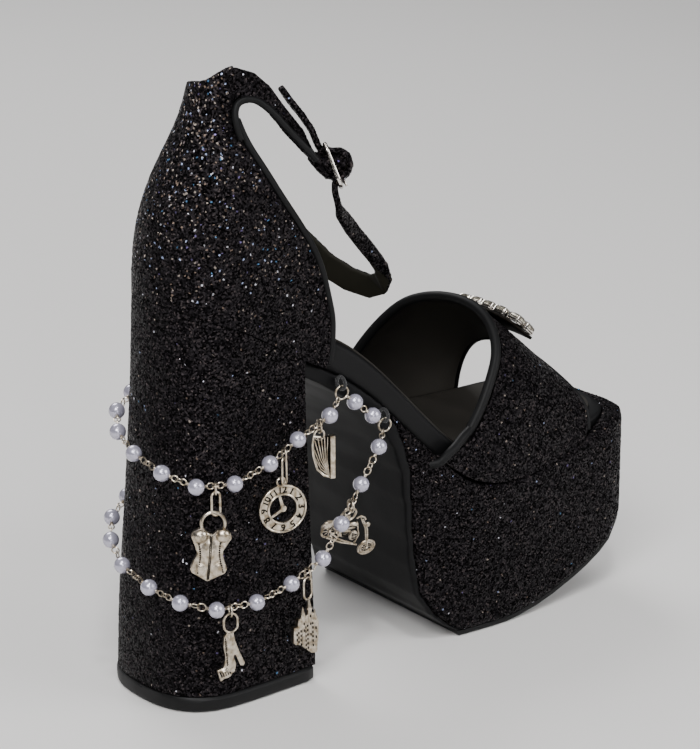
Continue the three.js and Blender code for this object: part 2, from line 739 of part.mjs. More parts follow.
// Counter: one wall from the seam up to the collar and the opening's edge
const sideOf = (turn) => (turn < 0 ? 'right' : 'left');
function openingEdge(turn) {
  const share = Math.abs(turn);
  const fade = THREE.MathUtils.clamp((0.8 - share) / 0.44, 0, 1);
  return opening(share) - OPENING_DROP[sideOf(turn)] * fade;
}

function collarTop(turn) {
  const share = Math.abs(turn);
  if (share > COLLAR_TURN + 0.001) return openingEdge(turn);
  const t = share / COLLAR_TURN;
  return COLLAR.back + (COLLAR[sideOf(turn)] - COLLAR.back) * t * t * (3 - 2 * t);
}

const COUNTER_TURNS = [0, 0.06, 0.12, 0.18, 0.24, 0.3, COLLAR_TURN, 0.352, 0.4, 0.45, 0.5, 0.56,
  0.63, 0.694, 0.77, 0.849, 0.9, 0.94, 0.97, 0.99, 1];
const COUNTER_ROWS = 6;
function makeCounter() {
  const turns = [...COUNTER_TURNS.slice(1).reverse().map((t) => -t), ...COUNTER_TURNS];
  const grid = (inset) => turns.map((turn) => {
    const low = seamHeight(turn, form.counterFront) + GAP / 2;
    const high = collarTop(turn);
    return Array.from({ length: COUNTER_ROWS + 1 }, (_, j) => {
      const z = THREE.MathUtils.lerp(low, high, j / COUNTER_ROWS);
      return backPoint(turn, z, inset, form.counterFront);
    });
  });
  add('heel_counter', wall(grid(0), grid(COUNTER_WALL)), 'glitter');
}

// Bindings run along an edge, just clear of it. inner: points of the same surface behind the edge
function alongEdge(points, inner, offset) {
  return points.map((p, i) => {
    const ahead = points[Math.min(i + 1, points.length - 1)];
    const behind = points[Math.max(i - 1, 0)];
    const along = ahead.clone().sub(behind).normalize();
    const away = p.clone().sub(inner[i]);
    away.addScaledVector(along, -away.dot(along)).normalize();
    return p.clone().addScaledVector(away, offset);
  });
}

const BINDING_FOOT = [129, 123, 118.6];
function makeCounterBindings() {
  const offset = COUNTER_BINDING_RADIUS + GAP + 0.15;
  const middle = COUNTER_WALL / 2;
  for (const side of [-1, 1]) {
    const turns = COUNTER_TURNS.filter((t) => t >= 0.352);
    const rows = turns.map((turn) => ({ turn, z: openingEdge(side * turn) }));
    rows.push(...BINDING_FOOT.map((z) => ({ turn: 1, z })));
    const edge = rows.map(({ turn, z }) => backPoint(side * turn, z, middle, form.counterFront));
    const inner = rows.map(({ turn, z }) => backPoint(side * (turn - 0.05), z - 4, middle, form.counterFront));
    const line = alongEdge(edge, inner, offset);
    add(side < 0 ? 'counter_binding_right' : 'counter_binding_left',
      tube(line, COUNTER_BINDING_RADIUS, 8, 18), 'leather');
  }
}

// Vamp: an arch over the forefoot, cut back at the crown between rear and front edge
const vampForm = {
  crown: reader(VAMP_FORM, 'x', 'crown'),
  right: reader(VAMP_FORM, 'x', 'right'),
  left: reader(VAMP_FORM, 'x', 'left'),
  rear: reader(VAMP_REAR, 'angle', 'x'),
  front: reader(VAMP_FRONT, 'angle', 'x'),
};

function vampPoint(angle, x, inset = 0) {
  const foot = platformTop(x) + GAP;
  const half = (vampForm.left(x) - vampForm.right(x)) / 2;
  const middle = (vampForm.left(x) + vampForm.right(x)) / 2;
  const turn = THREE.MathUtils.degToRad(angle);
  const power = 2 / VAMP_SQUARENESS;
  const across = Math.sign(Math.cos(turn)) * Math.abs(Math.cos(turn)) ** power;
  const up = Math.abs(Math.sin(turn)) ** power;
  const height = vampForm.crown(x) - foot - inset;
  return point(x, middle - (half - inset) * across, foot + height * up);
}

const VAMP_ANGLES = [0, 6, 12, 18, 24, 30, 37, 45, 54, 63, 72, 81, 90, 99, 108, 117, 126, 135, 143,
  150, 156, 162, 168, 174, 180];
const VAMP_STEPS = 5;
function makeVamp() {
  const grid = (inset) => VAMP_ANGLES.map((angle) => Array.from({ length: VAMP_STEPS + 1 }, (_, j) => {
    const x = THREE.MathUtils.lerp(vampForm.rear(angle), vampForm.front(angle), j / VAMP_STEPS);
    return vampPoint(angle, x, inset);
  }));
  add('vamp', wall(grid(0), grid(VAMP_WALL)), 'glitter');
  const middle = VAMP_WALL / 2;
  const angles = VAMP_ANGLES.slice(1, -1);
  const rear = angles.map((a) => vampPoint(a, vampForm.rear(a), middle));
  const behindRear = angles.map((a) => vampPoint(a, vampForm.rear(a) + 3, middle));
  const rearLine = alongEdge(rear, behindRear, VAMP_PIPING_RADIUS + GAP + 0.2);
  add('vamp_rear_piping', tube(rearLine, VAMP_PIPING_RADIUS, 8, 28), 'leather');
  const front = angles.map((a) => vampPoint(a, vampForm.front(a), middle));
  const behindFront = angles.map((a) => vampPoint(a, vampForm.front(a) - 3, middle));
  const frontLine = alongEdge(front, behindFront, FRONT_BINDING_RADIUS + GAP + 0.15);
  add('vamp_front_binding', tube(frontLine, FRONT_BINDING_RADIUS, 6, 22), 'leather');
}

// Ankle strap and buckle
const buckleBasis = () => new THREE.Matrix4()
  .makeBasis(BUCKLE_DOWN, BUCKLE_OUT, BUCKLE_ACROSS.clone().negate());
const onBuckle = (down, out, across) => BUCKLE.clone()
  .addScaledVector(BUCKLE_DOWN, down)
  .addScaledVector(BUCKLE_OUT, out)
  .addScaledVector(BUCKLE_ACROSS, across);

const readEdge = (row) => ({ a: point(row.ax, row.ay, row.az), b: point(row.bx, row.by, row.bz) });
const rootEdge = (turn) => ({
  a: backPoint(turn, STRAP_ROOT[sideOf(turn)].high, COUNTER_WALL / 2),
  b: backPoint(turn, STRAP_ROOT[sideOf(turn)].low, COUNTER_WALL / 2),
});

function ring(radius, wire, sides, count) {
  return new THREE.TorusGeometry(radius, wire, sides, count);
}

function barTube(from, to, radius) {
  return tube([from, from.clone().lerp(to, 0.5), to], radius, 8, 2);
}

function makeStraps() {
  const near = (down, out, lean) => {
    const middle = onBuckle(down, out, 0);
    const across = BUCKLE_ACROSS.clone().add(point(0, 0, lean)).normalize().multiplyScalar(STRAP_WIDTH / 2);
    return { a: middle.clone().add(across), b: middle.clone().sub(across) };
  };
  const turnedIn = [near(-5.4, -5.4, 0.2), near(-1, -1.3, 0)];
  const shortEdges = [rootEdge(-STRAP_TURN), ...SHORT_STRAP.map(readEdge), ...turnedIn];
  const halfStrap = STRAP_WIDTH / 2;
  const knuckle = barTube(onBuckle(0, 0, -halfStrap), onBuckle(0, 0, halfStrap), STRAP_KNUCKLE);
  const bore = barTube(onBuckle(0, 0, -9), onBuckle(0, 0, 9), BAR_WIRE + GAP);
  const slot = new THREE.BoxGeometry(10, 12, 2 * PRONG_WIRE + 2 * GAP + 0.4);
  slot.applyMatrix4(buckleBasis().setPosition(onBuckle(2.1, 0, 0)));
  add('strap_short', cut(join(strap(shortEdges, STRAP_THICKNESS), knuckle), bore, slot), 'glitter');

  const prongLine = [onBuckle(1.7, 0.3, 0), onBuckle(4.6, 1.4, 0), onBuckle(FRAME_HALF_LENGTH + 0.7, 1.85, 0)];
  const eye = ring(BAR_WIRE + GAP + PRONG_WIRE, PRONG_WIRE, 6, 12);
  eye.applyMatrix4(buckleBasis().setPosition(BUCKLE));
  add('buckle_prong', join(tube(prongLine, PRONG_WIRE, 6, 4), eye), 'silver');

  const far = LONG_STRAP_FAR.map(readEdge);
  const tip = LONG_STRAP_NEAR.map(({ down, out, across }, i) => {
    const last = i === LONG_STRAP_NEAR.length - 1;
    const half = (last ? TIP_WIDTH : STRAP_WIDTH) / 2;
    return { a: onBuckle(down, out, across - half), b: onBuckle(down, out, across + half) };
  });
  const longEdges = [rootEdge(STRAP_TURN), ...far, ...tip];
  const hole = tube(prongLine, PRONG_WIRE + 0.35, 8, 4);
  add('strap_long', cut(strap(longEdges, STRAP_THICKNESS), hole), 'glitter');
}

function makeBuckle() {
  const corners = [[1, 1], [-1, 1], [-1, -1], [1, -1]];
  const rings = [];
  for (const [index, [u, v]] of corners.entries()) {
    for (const part of [0, 0.5, 1]) {
      const angle = (index + part) * (Math.PI / 2);
      const down = u * (FRAME_HALF_LENGTH - FRAME_CORNER) + FRAME_CORNER * Math.cos(angle);
      const across = v * (FRAME_HALF_WIDTH - FRAME_CORNER) + FRAME_CORNER * Math.sin(angle);
      const outward = onBuckle(Math.cos(angle), 0, Math.sin(angle)).sub(BUCKLE);
      rings.push(Array.from({ length: 8 }, (_, j) => {
        const t = (j / 8) * Math.PI * 2;
        const spot = onBuckle(down, FRAME_WIRE * Math.sin(t), across);
        return spot.addScaledVector(outward, FRAME_WIRE * Math.cos(t));
      }));
    }
  }
  const bar = barTube(onBuckle(0, 0, -FRAME_HALF_WIDTH), onBuckle(0, 0, FRAME_HALF_WIDTH), BAR_WIRE);
  add('buckle_frame', join(loft(rings, 'loop'), bar), 'silver');
}

// Brooch: a plate that follows the vamp's crown, and two rows of stones in their cups
// tipLift: how far the outer end stands off the vamp, liftEnd: where along the brooch that ends
const BROOCH = { right: -16, left: 14.6, rear: 133.8, depth: 13.6, thickness: 1.2, tipLift: 2.4, liftEnd: 0.55 };
const BROOCH_SLOPE = 0.71;
const STONE_ROWS = [3.8, 10.3];
const STONES_IN_ROW = 5;
// Form of a stone and its cup: height over the plate and share of the full size
const STONE_LEVELS = [
  { up: 0, size: 0.8 },
  { up: 2.2, size: 1 },
  { up: 3.6, size: 0.66 },
];
const STONE_CORNER = 0.62;
function vampFrame(angle, x) {
  const at = vampPoint(angle, x);
  const across = vampPoint(angle + 1, x).sub(vampPoint(angle - 1, x)).normalize();
  const along = vampPoint(angle, x + 1).sub(vampPoint(angle, x - 1)).normalize();
  const out = new THREE.Vector3().crossVectors(along, across).normalize();
  return { at, across, along, out };
}

function makeBrooch() {
  const place = (share, depth) => {
    const x = BROOCH.rear + depth * BROOCH_SLOPE;
    const y = THREE.MathUtils.lerp(BROOCH.right, BROOCH.left, share);
    let angle = 90;
    for (let step = 45; step > 0.05; step /= 2) angle += vampPoint(angle, x).y < y ? step : -step;
    const spot = vampFrame(angle, x);
    const lift = GAP + 0.1 + BROOCH.tipLift * Math.max(0, 1 - share / BROOCH.liftEnd) ** 2;
    spot.at.addScaledVector(spot.out, lift);
    return spot;
  };
  const rings = Array.from({ length: 9 }, (_, i) => {
    const [rear, front] = [0, BROOCH.depth].map((d) => place(i / 8, d));
    return [
      rear.at,
      front.at,
      front.at.clone().addScaledVector(front.out, BROOCH.thickness),
      rear.at.clone().addScaledVector(rear.out, BROOCH.thickness),
    ];
  });
  add('brooch_plate', loft(rings), 'silver');
  STONE_ROWS.forEach((depth, row) => {
    for (let i = 0; i < STONES_IN_ROW; i += 1) {
      const { at, across, along, out } = place((i + 0.5) / STONES_IN_ROW, depth);
      const base = at.addScaledVector(out, BROOCH.thickness + 2 * GAP);
      const half = (STONE_SIZE / 2) * 0.96;
      const stone = STONE_LEVELS.map(({ up, size }) => Array.from({ length: 8 }, (_, j) => {
        const corner = Math.floor(j / 2);
        const u = corner === 0 || corner === 3 ? 1 : -1;
        const v = corner < 2 ? 1 : -1;
        const first = j % 2 === (corner % 2 === 0 ? 0 : 1);
        return base.clone()
          .addScaledVector(across, u * half * size * (first ? 1 : STONE_CORNER))
          .addScaledVector(along, v * half * size * (first ? STONE_CORNER : 1))
          .addScaledVector(out, up);
      }));
      add(`brooch_stone_${row + 1}_${i + 1}`, loft(stone), 'crystal');
    }
  });
}

// Chains: pearls strung on wire, one closed body for each length
function pearlPlace(row) {
  if (row.turn === undefined) return point(row.x, row.y, row.z);
  return backPoint(row.turn, row.z, -CHAIN_CLEARANCE);
}

const BEAD = [
  { along: -1, radius: 0.2 },
  { along: -0.5, radius: 0.92 },
  { along: 0.5, radius: 0.92 },
  { along: 1, radius: 0.2 },
];
const CHAIN_SIDES = 6;
function chain(centres, start, end) {
  const stops = [start, ...centres, end];
  const up = point(0, 0, 1);
  const rings = [];
  const circle = (at, along, radius) => {
    const across = new THREE.Vector3().crossVectors(along, up).normalize();
    const rise = new THREE.Vector3().crossVectors(across, along).normalize();
    rings.push(Array.from({ length: CHAIN_SIDES }, (_, j) => {
      const t = (j / CHAIN_SIDES) * Math.PI * 2;
      const spot = at.clone().addScaledVector(across, radius * Math.cos(t));
      return spot.addScaledVector(rise, radius * Math.sin(t));
    }));
  };
  const way = (i) => {
    const behind = stops[Math.max(i - 1, 0)];
    return stops[Math.min(i + 1, stops.length - 1)].clone().sub(behind).normalize();
  };
  circle(start, way(0), WIRE_RADIUS);
  centres.forEach((centre, i) => {
    const along = way(i + 1);
    BEAD.forEach((step) => {
      const at = centre.clone().addScaledVector(along, step.along * PEARL_RADIUS);
      circle(at, along, Math.max(WIRE_RADIUS, step.radius * PEARL_RADIUS));
    });
  });
  circle(end, way(stops.length - 1), WIRE_RADIUS);
  return loft(rings);
}

const holderAt = Object.fromEntries(HOLDERS.map((h) => [h.name, point(h.x, h.y, h.z)]));
const HOLDER_RING_RADIUS = 2.6;
const HOLDER_DROP = 3.5;
const LOOP_RADIUS = 2.3;
const LOOP_CORD = 0.6;
function makeHolders() {
  for (const { name, side, x, y, z } of HOLDERS) {
    const loop = ring(LOOP_RADIUS, LOOP_CORD, 5, 10);
    loop.rotateX(Math.PI / 2);
    loop.rotateZ(Math.PI / 2);
    loop.translate(x, y, z);
    add(`chain_loop_${name}`, loop, 'cord');
    const link = ring(HOLDER_RING_RADIUS, WIRE_RADIUS, 5, 12);
    link.rotateY(Math.PI / 2);
    link.rotateZ(side * 0.2 + Math.PI / 2);
    link.translate(x, y + side * 0.4, z - HOLDER_DROP);
    add(`chain_ring_${name}`, link, 'silver');
  }
}

function ringSide(name, towards) {
  const centre = holderAt[name].clone().add(point(0, 0, -HOLDER_DROP));
  const away = towards.clone().sub(centre).normalize();
  return centre.addScaledVector(away, HOLDER_RING_RADIUS + WIRE_RADIUS + GAP);
}

const strands = {};
function makeChains() {
  const parts = [
    ['upper', UPPER_PEARLS, 'rear_right', 'rear_left'],
    ['lower', LOWER_PEARLS, 'front_right', 'front_left'],
    ['arch_right', ARCH_PEARLS_RIGHT, 'rear_right', 'front_right'],
    ['arch_left', ARCH_PEARLS_LEFT, 'rear_left', 'front_left'],
  ];
  for (const [name, rows, from, to] of parts) {
    const centres = rows.map(pearlPlace);
    strands[name] = centres;
    const start = ringSide(from, centres[0]);
    const end = ringSide(to, centres[centres.length - 1]);
    add(`chain_${name}`, chain(centres, start, end), 'pearl');
  }
}

// Charms hang below the chain by a jump ring. Each is drawn in its own plane: x along the chain,
// y into the shoe, z up, from the point of the chain that it hangs on
const EYE_RADIUS = 1.9;
const EYE_WIRE = 0.45;
const RING_DROP = 1;
const EYE_DROP = RING_DROP + JUMP_RING_RADIUS + 0.8;
const CHARM_TOP = EYE_DROP + EYE_RADIUS - 0.3;

function eyelet(drop) {
  const eye = ring(EYE_RADIUS, EYE_WIRE, 5, 10);
  eye.rotateX(Math.PI / 2);
  const spots = eye.attributes.position;
  for (let i = 0; i < spots.count; i += 1) {
    if (spots.getZ(i) < EYE_WIRE / 10) spots.setZ(i, spots.getZ(i) - drop);
  }
  return eye.translate(0, 0, -EYE_DROP);
}

// A flat charm from its outline, drawn down from its top
function plate(points, thickness) {
  const shape = new THREE.Shape(points.map(([x, z]) => new THREE.Vector2(x, z)));
  const solid = new THREE.ExtrudeGeometry(shape, { depth: thickness, bevelEnabled: false });
  solid.rotateX(Math.PI / 2);
  return solid.translate(0, thickness / 2, -CHARM_TOP);
}

function disc(radius, thickness, x, z) {
  const solid = new THREE.CylinderGeometry(radius, radius, thickness, 14);
  return solid.translate(x, 0, z - CHARM_TOP);
}

function hoop(radius, wire, x, z) {
  const solid = ring(radius, wire, 5, 14);
  solid.rotateX(Math.PI / 2);
  return solid.translate(x, 0, z - CHARM_TOP);
}

function corsetCharm() {
  const outline = [[-1.9, -7.2], [-4.4, -4.7], [-6.1, -4.5], [-8.3, -5.6], [-8.9, -7.6], [-7.8, -10.6],
    [-7, -13.4], [-8.6, -16.4], [-9.6, -18.9], [-9.1, -20.4], [-3.7, -23.9], [2.6, -21.2], [3.4, -19.7],
    [2.3, -15.8], [2.1, -13.3], [3.5, -11.1], [5.3, -8.7], [4.9, -6.6], [2.5, -4.9], [0.4, -5.3]];
  const handle = hoop(4.2, 0.55, -1.1, -3.2);
  return join(plate(outline, 3.2), handle);
}

const HAND_THICKNESS = 1.2;
function clockCharm() {
  const middle = -8.6;
  const hourHand = [[-0.4, -8], [-0.8, -9.4], [-5.9, -12.3], [-6.1, -11.5]];
  const minuteHand = [[-0.2, -8.6], [-1.6, -8.2], [-2.7, -3.3], [-1.8, -3.2]];
  const band = cut(disc(9, 2, -1, middle), disc(5.2, 3, -1, middle));
  const hub = disc(1.2, 1.6, -0.8, middle);
  return join(band, hub, plate(hourHand, HAND_THICKNESS), plate(minuteHand, HAND_THICKNESS));
}

function pumpCharm() {
  const outline = [[-2.6, -1.5], [-1.5, -0.4], [0.8, -0.4], [1.5, -3.9], [2.9, -7.9], [4.7, -12.1],
    [4.3, -13.3], [3, -13.1], [1.3, -8.8], [0.7, -9], [1.5, -12.2], [1.1, -15], [-4.3, -18.5],
    [-5.4, -14], [-3, -13.3], [-2.3, -9.6], [-2.9, -5.7]];
  return plate(outline, 2.6);
}

function houseCharm() {
  const outline = [[-0.7, 0], [0.8, 0], [1.8, -4.4], [4, -9.3], [3.6, -15.9], [2.7, -21.3],
    [0.6, -21.1], [-3.8, -17.1], [-6.8, -15.9], [-6.5, -9.8], [-4.9, -9.6], [-4.5, -5.9], [-2.6, -2]];
  return plate(outline, 2.8);
}

function motorcycleCharm() {
  const frame = [[-9.7, -6.6], [-10.1, -1.9], [-8.1, -0.1], [-4.9, -2.3], [-2.1, -2.6], [-0.8, 0.2], [0.8, 0.2],
    [1.4, -2.3], [4.3, -4.1], [5.1, -0.9], [6.6, -1.5], [8.1, -5], [10, -6.7], [9.8, -8.3], [8.6, -8.7],
    [12.2, -17.9], [10.7, -18.2], [7.2, -11.1], [7, -16.4], [-0.5, -13.5], [-4.5, -10.8], [-8.2, -9.3]];
  const wheels = [disc(3.6, 1.8, -6.5, -6.1), disc(2.9, 1.8, 11.6, -19)];
  return join(plate(frame, 2), ...wheels);
}

function fanCharm() {
  const leaves = plate([[4, 0.8], [0, 0.8], [-1.4, 2.2], [-2.4, 2.2], [-2.6, -1.8], [-2.4, -5.7],
    [-0.8, -11.6], [1.6, -14.1], [4, -14.9]], 2.2);
  const bar = plate([[3.8, 1], [5.7, 1], [5.7, -15.3], [3.8, -15.3]], 3);
  return join(leaves, bar);
}

// share: where between two pearls, face: the way it faces from the side, lean: how far it rests
// outwards on what is behind it, or inwards on a pearl before it, drop: length of the link above it
const CHARMS = [
  { name: 'fan', strand: 'upper', after: 0, share: 0.34, face: 18, lean: 0, drop: 0, make: fanCharm },
  { name: 'clock', strand: 'upper', after: 1, share: 0.5, face: 18, lean: 2, drop: 6.5, make: clockCharm },
  { name: 'corset', strand: 'upper', after: 3, share: 0.5, face: 34, lean: 6, drop: 4.6, make: corsetCharm },
  { name: 'motorcycle', strand: 'lower', after: 1, share: 0.5, face: 12, lean: -24, drop: 0, make: motorcycleCharm },
  { name: 'house', strand: 'lower', after: 3, share: 0.5, face: 8, lean: 2, drop: 4.6, make: houseCharm },
  { name: 'pump', strand: 'lower', after: 5, share: 0.66, face: 24, lean: 2, drop: 3.2, make: pumpCharm },
];

function makeCharms() {
  for (const { name, strand: key, after, share, face, lean, drop, make } of CHARMS) {
    const holder = new THREE.Group();
    holder.name = `${name}_swing`;
    holder.position.lerpVectors(strands[key][after], strands[key][after + 1], share);
    holder.rotation.order = 'ZYX';
    holder.rotation.z = THREE.MathUtils.degToRad(-face);
    holder.rotation.x = THREE.MathUtils.degToRad(-lean);
    const jump = ring(JUMP_RING_RADIUS, JUMP_RING_WIRE, 5, 12);
    jump.rotateX(Math.PI / 2);
    jump.rotateZ(Math.PI / 2);
    jump.translate(0, 0, -RING_DROP);
    add(`charm_${name}_ring`, jump, 'silver', holder);
    add(`charm_${name}`, join(make().translate(0, 0, -drop), eyelet(drop)), 'silver', holder);
    group.add(holder);
  }
}

makeHeel();
makePlatform();
makeInsole();
makeCounter();
makeCounterBindings();
makeVamp();
makeStraps();
makeBuckle();
makeBrooch();
makeHolders();
makeChains();
makeCharms();

export default group;
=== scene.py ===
import json
import math

import bmesh
import bpy
from mathutils import Matrix, Vector


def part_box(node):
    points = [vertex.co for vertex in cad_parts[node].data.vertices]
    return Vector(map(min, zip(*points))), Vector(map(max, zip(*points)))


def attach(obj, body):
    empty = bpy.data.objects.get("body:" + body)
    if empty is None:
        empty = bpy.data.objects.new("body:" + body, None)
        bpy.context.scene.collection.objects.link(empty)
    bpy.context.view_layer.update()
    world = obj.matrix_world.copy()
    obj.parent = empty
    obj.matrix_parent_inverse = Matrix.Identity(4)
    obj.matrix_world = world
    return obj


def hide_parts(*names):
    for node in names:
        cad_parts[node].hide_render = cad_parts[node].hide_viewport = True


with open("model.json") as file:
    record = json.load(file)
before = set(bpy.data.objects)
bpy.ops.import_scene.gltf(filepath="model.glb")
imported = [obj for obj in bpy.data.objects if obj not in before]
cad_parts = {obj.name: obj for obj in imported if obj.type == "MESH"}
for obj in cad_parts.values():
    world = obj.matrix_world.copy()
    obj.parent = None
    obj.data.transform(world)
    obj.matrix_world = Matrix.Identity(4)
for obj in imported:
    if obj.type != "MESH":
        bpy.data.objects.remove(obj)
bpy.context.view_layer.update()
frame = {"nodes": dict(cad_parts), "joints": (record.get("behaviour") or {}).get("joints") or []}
MM = 0.001


# Floor, light and camera. The shoe stands on a plain pale floor under three large soft lamps, and two
# small ones make the flakes sparkle. The camera stands behind the outer side, a little above the shoe.
FLOOR_SIZE = 40
FLOOR_DROP = 0.4


def deselect():
    bpy.ops.object.select_all(action="DESELECT")


def linear(hex_colour):
    shares = [int(hex_colour[i:i + 2], 16) / 255 for i in (1, 3, 5)]
    return tuple(s / 12.92 if s <= 0.04045 else ((s + 0.055) / 1.055) ** 2.4 for s in shares) + (1,)


def add_node(tree, kind, values=None, links=None, **settings):
    node = tree.nodes.new(kind)
    for key, value in settings.items():
        setattr(node, key, value)
    for key, value in (values or {}).items():
        node.inputs[key].default_value = value
    for key, source in (links or {}).items():
        tree.links.new(source, node.inputs[key])
    return node


def start_material(name, colour, roughness, metallic=0, **sockets):
    material = bpy.data.materials.new(name)
    material.use_nodes = True
    tree = material.node_tree
    shader = tree.nodes["Principled BSDF"]
    shader.inputs["Base Color"].default_value = linear(colour)
    shader.inputs["Roughness"].default_value = roughness
    shader.inputs["Metallic"].default_value = metallic
    for key, value in sockets.items():
        shader.inputs[key.replace("_", " ")].default_value = value
    place = add_node(tree, "ShaderNodeTexCoord").outputs["Object"]
    return material, tree, shader, place


deselect()
bpy.ops.mesh.primitive_plane_add(size=FLOOR_SIZE, location=(0.05, 0, -FLOOR_DROP * MM))
floor = bpy.context.object
floor.name = "floor"
floor_paint, tree, shader, place = start_material("matt pale paper", "#e4e2e0", 0.85)
floor.data.materials.append(floor_paint)

# The room is dim at the height of the shoe and paler overhead.
world = bpy.data.worlds.new("studio")
bpy.context.scene.world = world
world.use_nodes = True
backdrop = world.node_tree.nodes["Background"]
sky = add_node(world.node_tree, "ShaderNodeTexCoord")
upwards = add_node(world.node_tree, "ShaderNodeSeparateXYZ", links={"Vector": sky.outputs["Generated"]})
room = add_node(world.node_tree, "ShaderNodeValToRGB", links={"Fac": upwards.outputs["Z"]})
room.color_ramp.elements[0].color = linear("#3c3d40")
room.color_ramp.elements[1].color = linear("#c4c5c8")
room.color_ramp.elements.new(0.35).color = linear("#4a4b4e")
world.node_tree.links.new(room.outputs["Color"], backdrop.inputs["Color"])
backdrop.inputs["Strength"].default_value = 0.75

# Each lamp's name, its place and its size in metres, and its power in watts
LAMPS = [
    ("key", (-0.95, -0.75, 1.25), 0.8, 22),
    ("fill", (0.75, -1.15, 0.75), 0.9, 12),
    ("back", (0.3, 1.2, 1.3), 0.9, 16),
    ("sparkle_left", (-0.7, -1.3, 0.5), 0.1, 3.5),
    ("sparkle_top", (-0.25, -0.5, 1.5), 0.12, 5),
]
LAMP_TARGET = Vector((0.06, 0, 0.1))
for name, place_at, size, power in LAMPS:
    lamp = bpy.data.lights.new(name, "AREA")
    lamp.size = size
    lamp.energy = power
    holder = bpy.data.objects.new(name, lamp)
    holder.location = place_at
    holder.rotation_euler = (LAMP_TARGET - Vector(place_at)).to_track_quat("-Z", "Y").to_euler()
    bpy.context.collection.objects.link(holder)

CAMERA_PLACE = Vector((-0.5508, -0.7389, 0.4237))
CAMERA_TURN = 50
CAMERA_DOWN = 18.5
SENSOR_WIDTH = 36
PHOTO_WIDTH = 700
VIEW_LENGTH = 2750
camera = bpy.data.cameras.new("camera")
camera.sensor_fit = "HORIZONTAL"
camera.sensor_width = SENSOR_WIDTH
camera.lens = VIEW_LENGTH / PHOTO_WIDTH * SENSOR_WIDTH
viewer = bpy.data.objects.new("camera", camera)
viewer.location = CAMERA_PLACE
viewer.rotation_euler = (math.radians(90 - CAMERA_DOWN), 0, math.radians(CAMERA_TURN - 90))
bpy.context.collection.objects.link(viewer)
bpy.context.scene.camera = viewer


# Black glitter cloth: fabric strewn with metal foil flakes, each lying at its own angle. Most are black,
# a few catch the light in silver, blue, violet or bronze, and more of them near the collar. The flakes
# are drawn 0.6 mm wide, because finer ones wouldn't show.
FLAKE = 0.6
FLAKE_LEAN = 1.25
PATCH = 22.2
MORE_FROM, MORE_TO = 130, 215


def glitter_cloth(name, bright_share, more_above):
    material, tree, shader, place = start_material(name, "#0b0b0d", 0.4, 0.7, Specular_IOR_Level=0.0)
    cells = add_node(tree, "ShaderNodeTexVoronoi", {"Scale": 1 / (FLAKE * MM)}, {"Vector": place})
    share = add_node(tree, "ShaderNodeSeparateColor", links={"Color": cells.outputs["Color"]})
    patches = add_node(tree, "ShaderNodeTexNoise", {"Scale": 1 / (PATCH * MM), "Detail": 2},
                       {"Vector": place})
    height = add_node(tree, "ShaderNodeSeparateXYZ", links={"Vector": place})
    upper = add_node(tree, "ShaderNodeMapRange", {
        "From Min": MORE_FROM * MM, "From Max": MORE_TO * MM, "To Min": 0, "To Max": more_above},
        {"Value": height.outputs["Z"]})
    patchy = add_node(tree, "ShaderNodeMath", {1: bright_share}, {0: patches.outputs["Fac"]},
                      operation="MULTIPLY")
    added = add_node(tree, "ShaderNodeMath", links={0: patchy.outputs[0], 1: upper.outputs[0]},
                     operation="ADD")
    lit = add_node(tree, "ShaderNodeMath", links={0: share.outputs["Red"], 1: added.outputs[0]},
                   operation="ADD")
    dark = add_node(tree, "ShaderNodeValToRGB", links={"Fac": lit.outputs[0]})
    ramp = dark.color_ramp
    ramp.elements[0].color = linear("#030303")
    ramp.elements[1].position = 0.3
    ramp.elements[1].color = linear("#0a090a")
    for position, colour in ((0.62, "#1d1b1d"), (0.84, "#2c292b"), (0.95, "#3d383a"), (1, "#504848")):
        ramp.elements.new(position).color = linear(colour)
    bright = add_node(tree, "ShaderNodeMath", {1: 1.0}, {0: lit.outputs[0]}, operation="GREATER_THAN")
    tints = add_node(tree, "ShaderNodeValToRGB", links={"Fac": share.outputs["Green"]})
    tints.color_ramp.interpolation = "CONSTANT"
    tints.color_ramp.elements[0].color = linear("#9a8f86")
    tints.color_ramp.elements[1].position = 0.34
    tints.color_ramp.elements[1].color = linear("#6e5f55")
    for position, colour in ((0.66, "#a9b6d8"), (0.78, "#e8e8f2"), (0.88, "#7c70a0"), (0.95, "#5f8db5")):
        tints.color_ramp.elements.new(position).color = linear(colour)
    colour = add_node(tree, "ShaderNodeMix", links={
        "Factor": bright.outputs[0], "A": dark.outputs["Color"], "B": tints.outputs["Color"]},
        data_type="RGBA")
    tree.links.new(colour.outputs["Result"], shader.inputs["Base Color"])
    rough = add_node(tree, "ShaderNodeMapRange", {"To Min": 0.22, "To Max": 0.8},
                     {"Value": share.outputs["Blue"]})
    tree.links.new(rough.outputs[0], shader.inputs["Roughness"])
    lean = add_node(tree, "ShaderNodeVectorMath", {1: (0.5, 0.5, 0.5)}, {0: cells.outputs["Color"]},
                    operation="SUBTRACT")
    tilt = add_node(tree, "ShaderNodeVectorMath", {"Scale": FLAKE_LEAN}, {0: lean.outputs[0]},
                    operation="SCALE")
    surface = add_node(tree, "ShaderNodeNewGeometry")
    leaning = add_node(tree, "ShaderNodeVectorMath", links={
        0: surface.outputs["Normal"], 1: tilt.outputs[0]}, operation="ADD")
    even = add_node(tree, "ShaderNodeVectorMath", links={0: leaning.outputs[0]}, operation="NORMALIZE")
    tree.links.new(even.outputs[0], shader.inputs["Normal"])
    return material


black_glitter = glitter_cloth("black glitter cloth", 0.01, 0.0)
counter_glitter = glitter_cloth("black glitter cloth, upper", 0.014, 0.07)


# Heel: a hollow plastic block wrapped in glitter cloth, glued on and turned in at both ends.
# A thin rubber top piece is nailed under it. The cloth is 0.3 mm thick and a little uneven.
CLOTH = 0.3
CLOTH_RELIEF = 0.45
RELIEF_WIDTH = 1.1
SHARP_EDGE = 35
SMOOTH_BELOW = 42


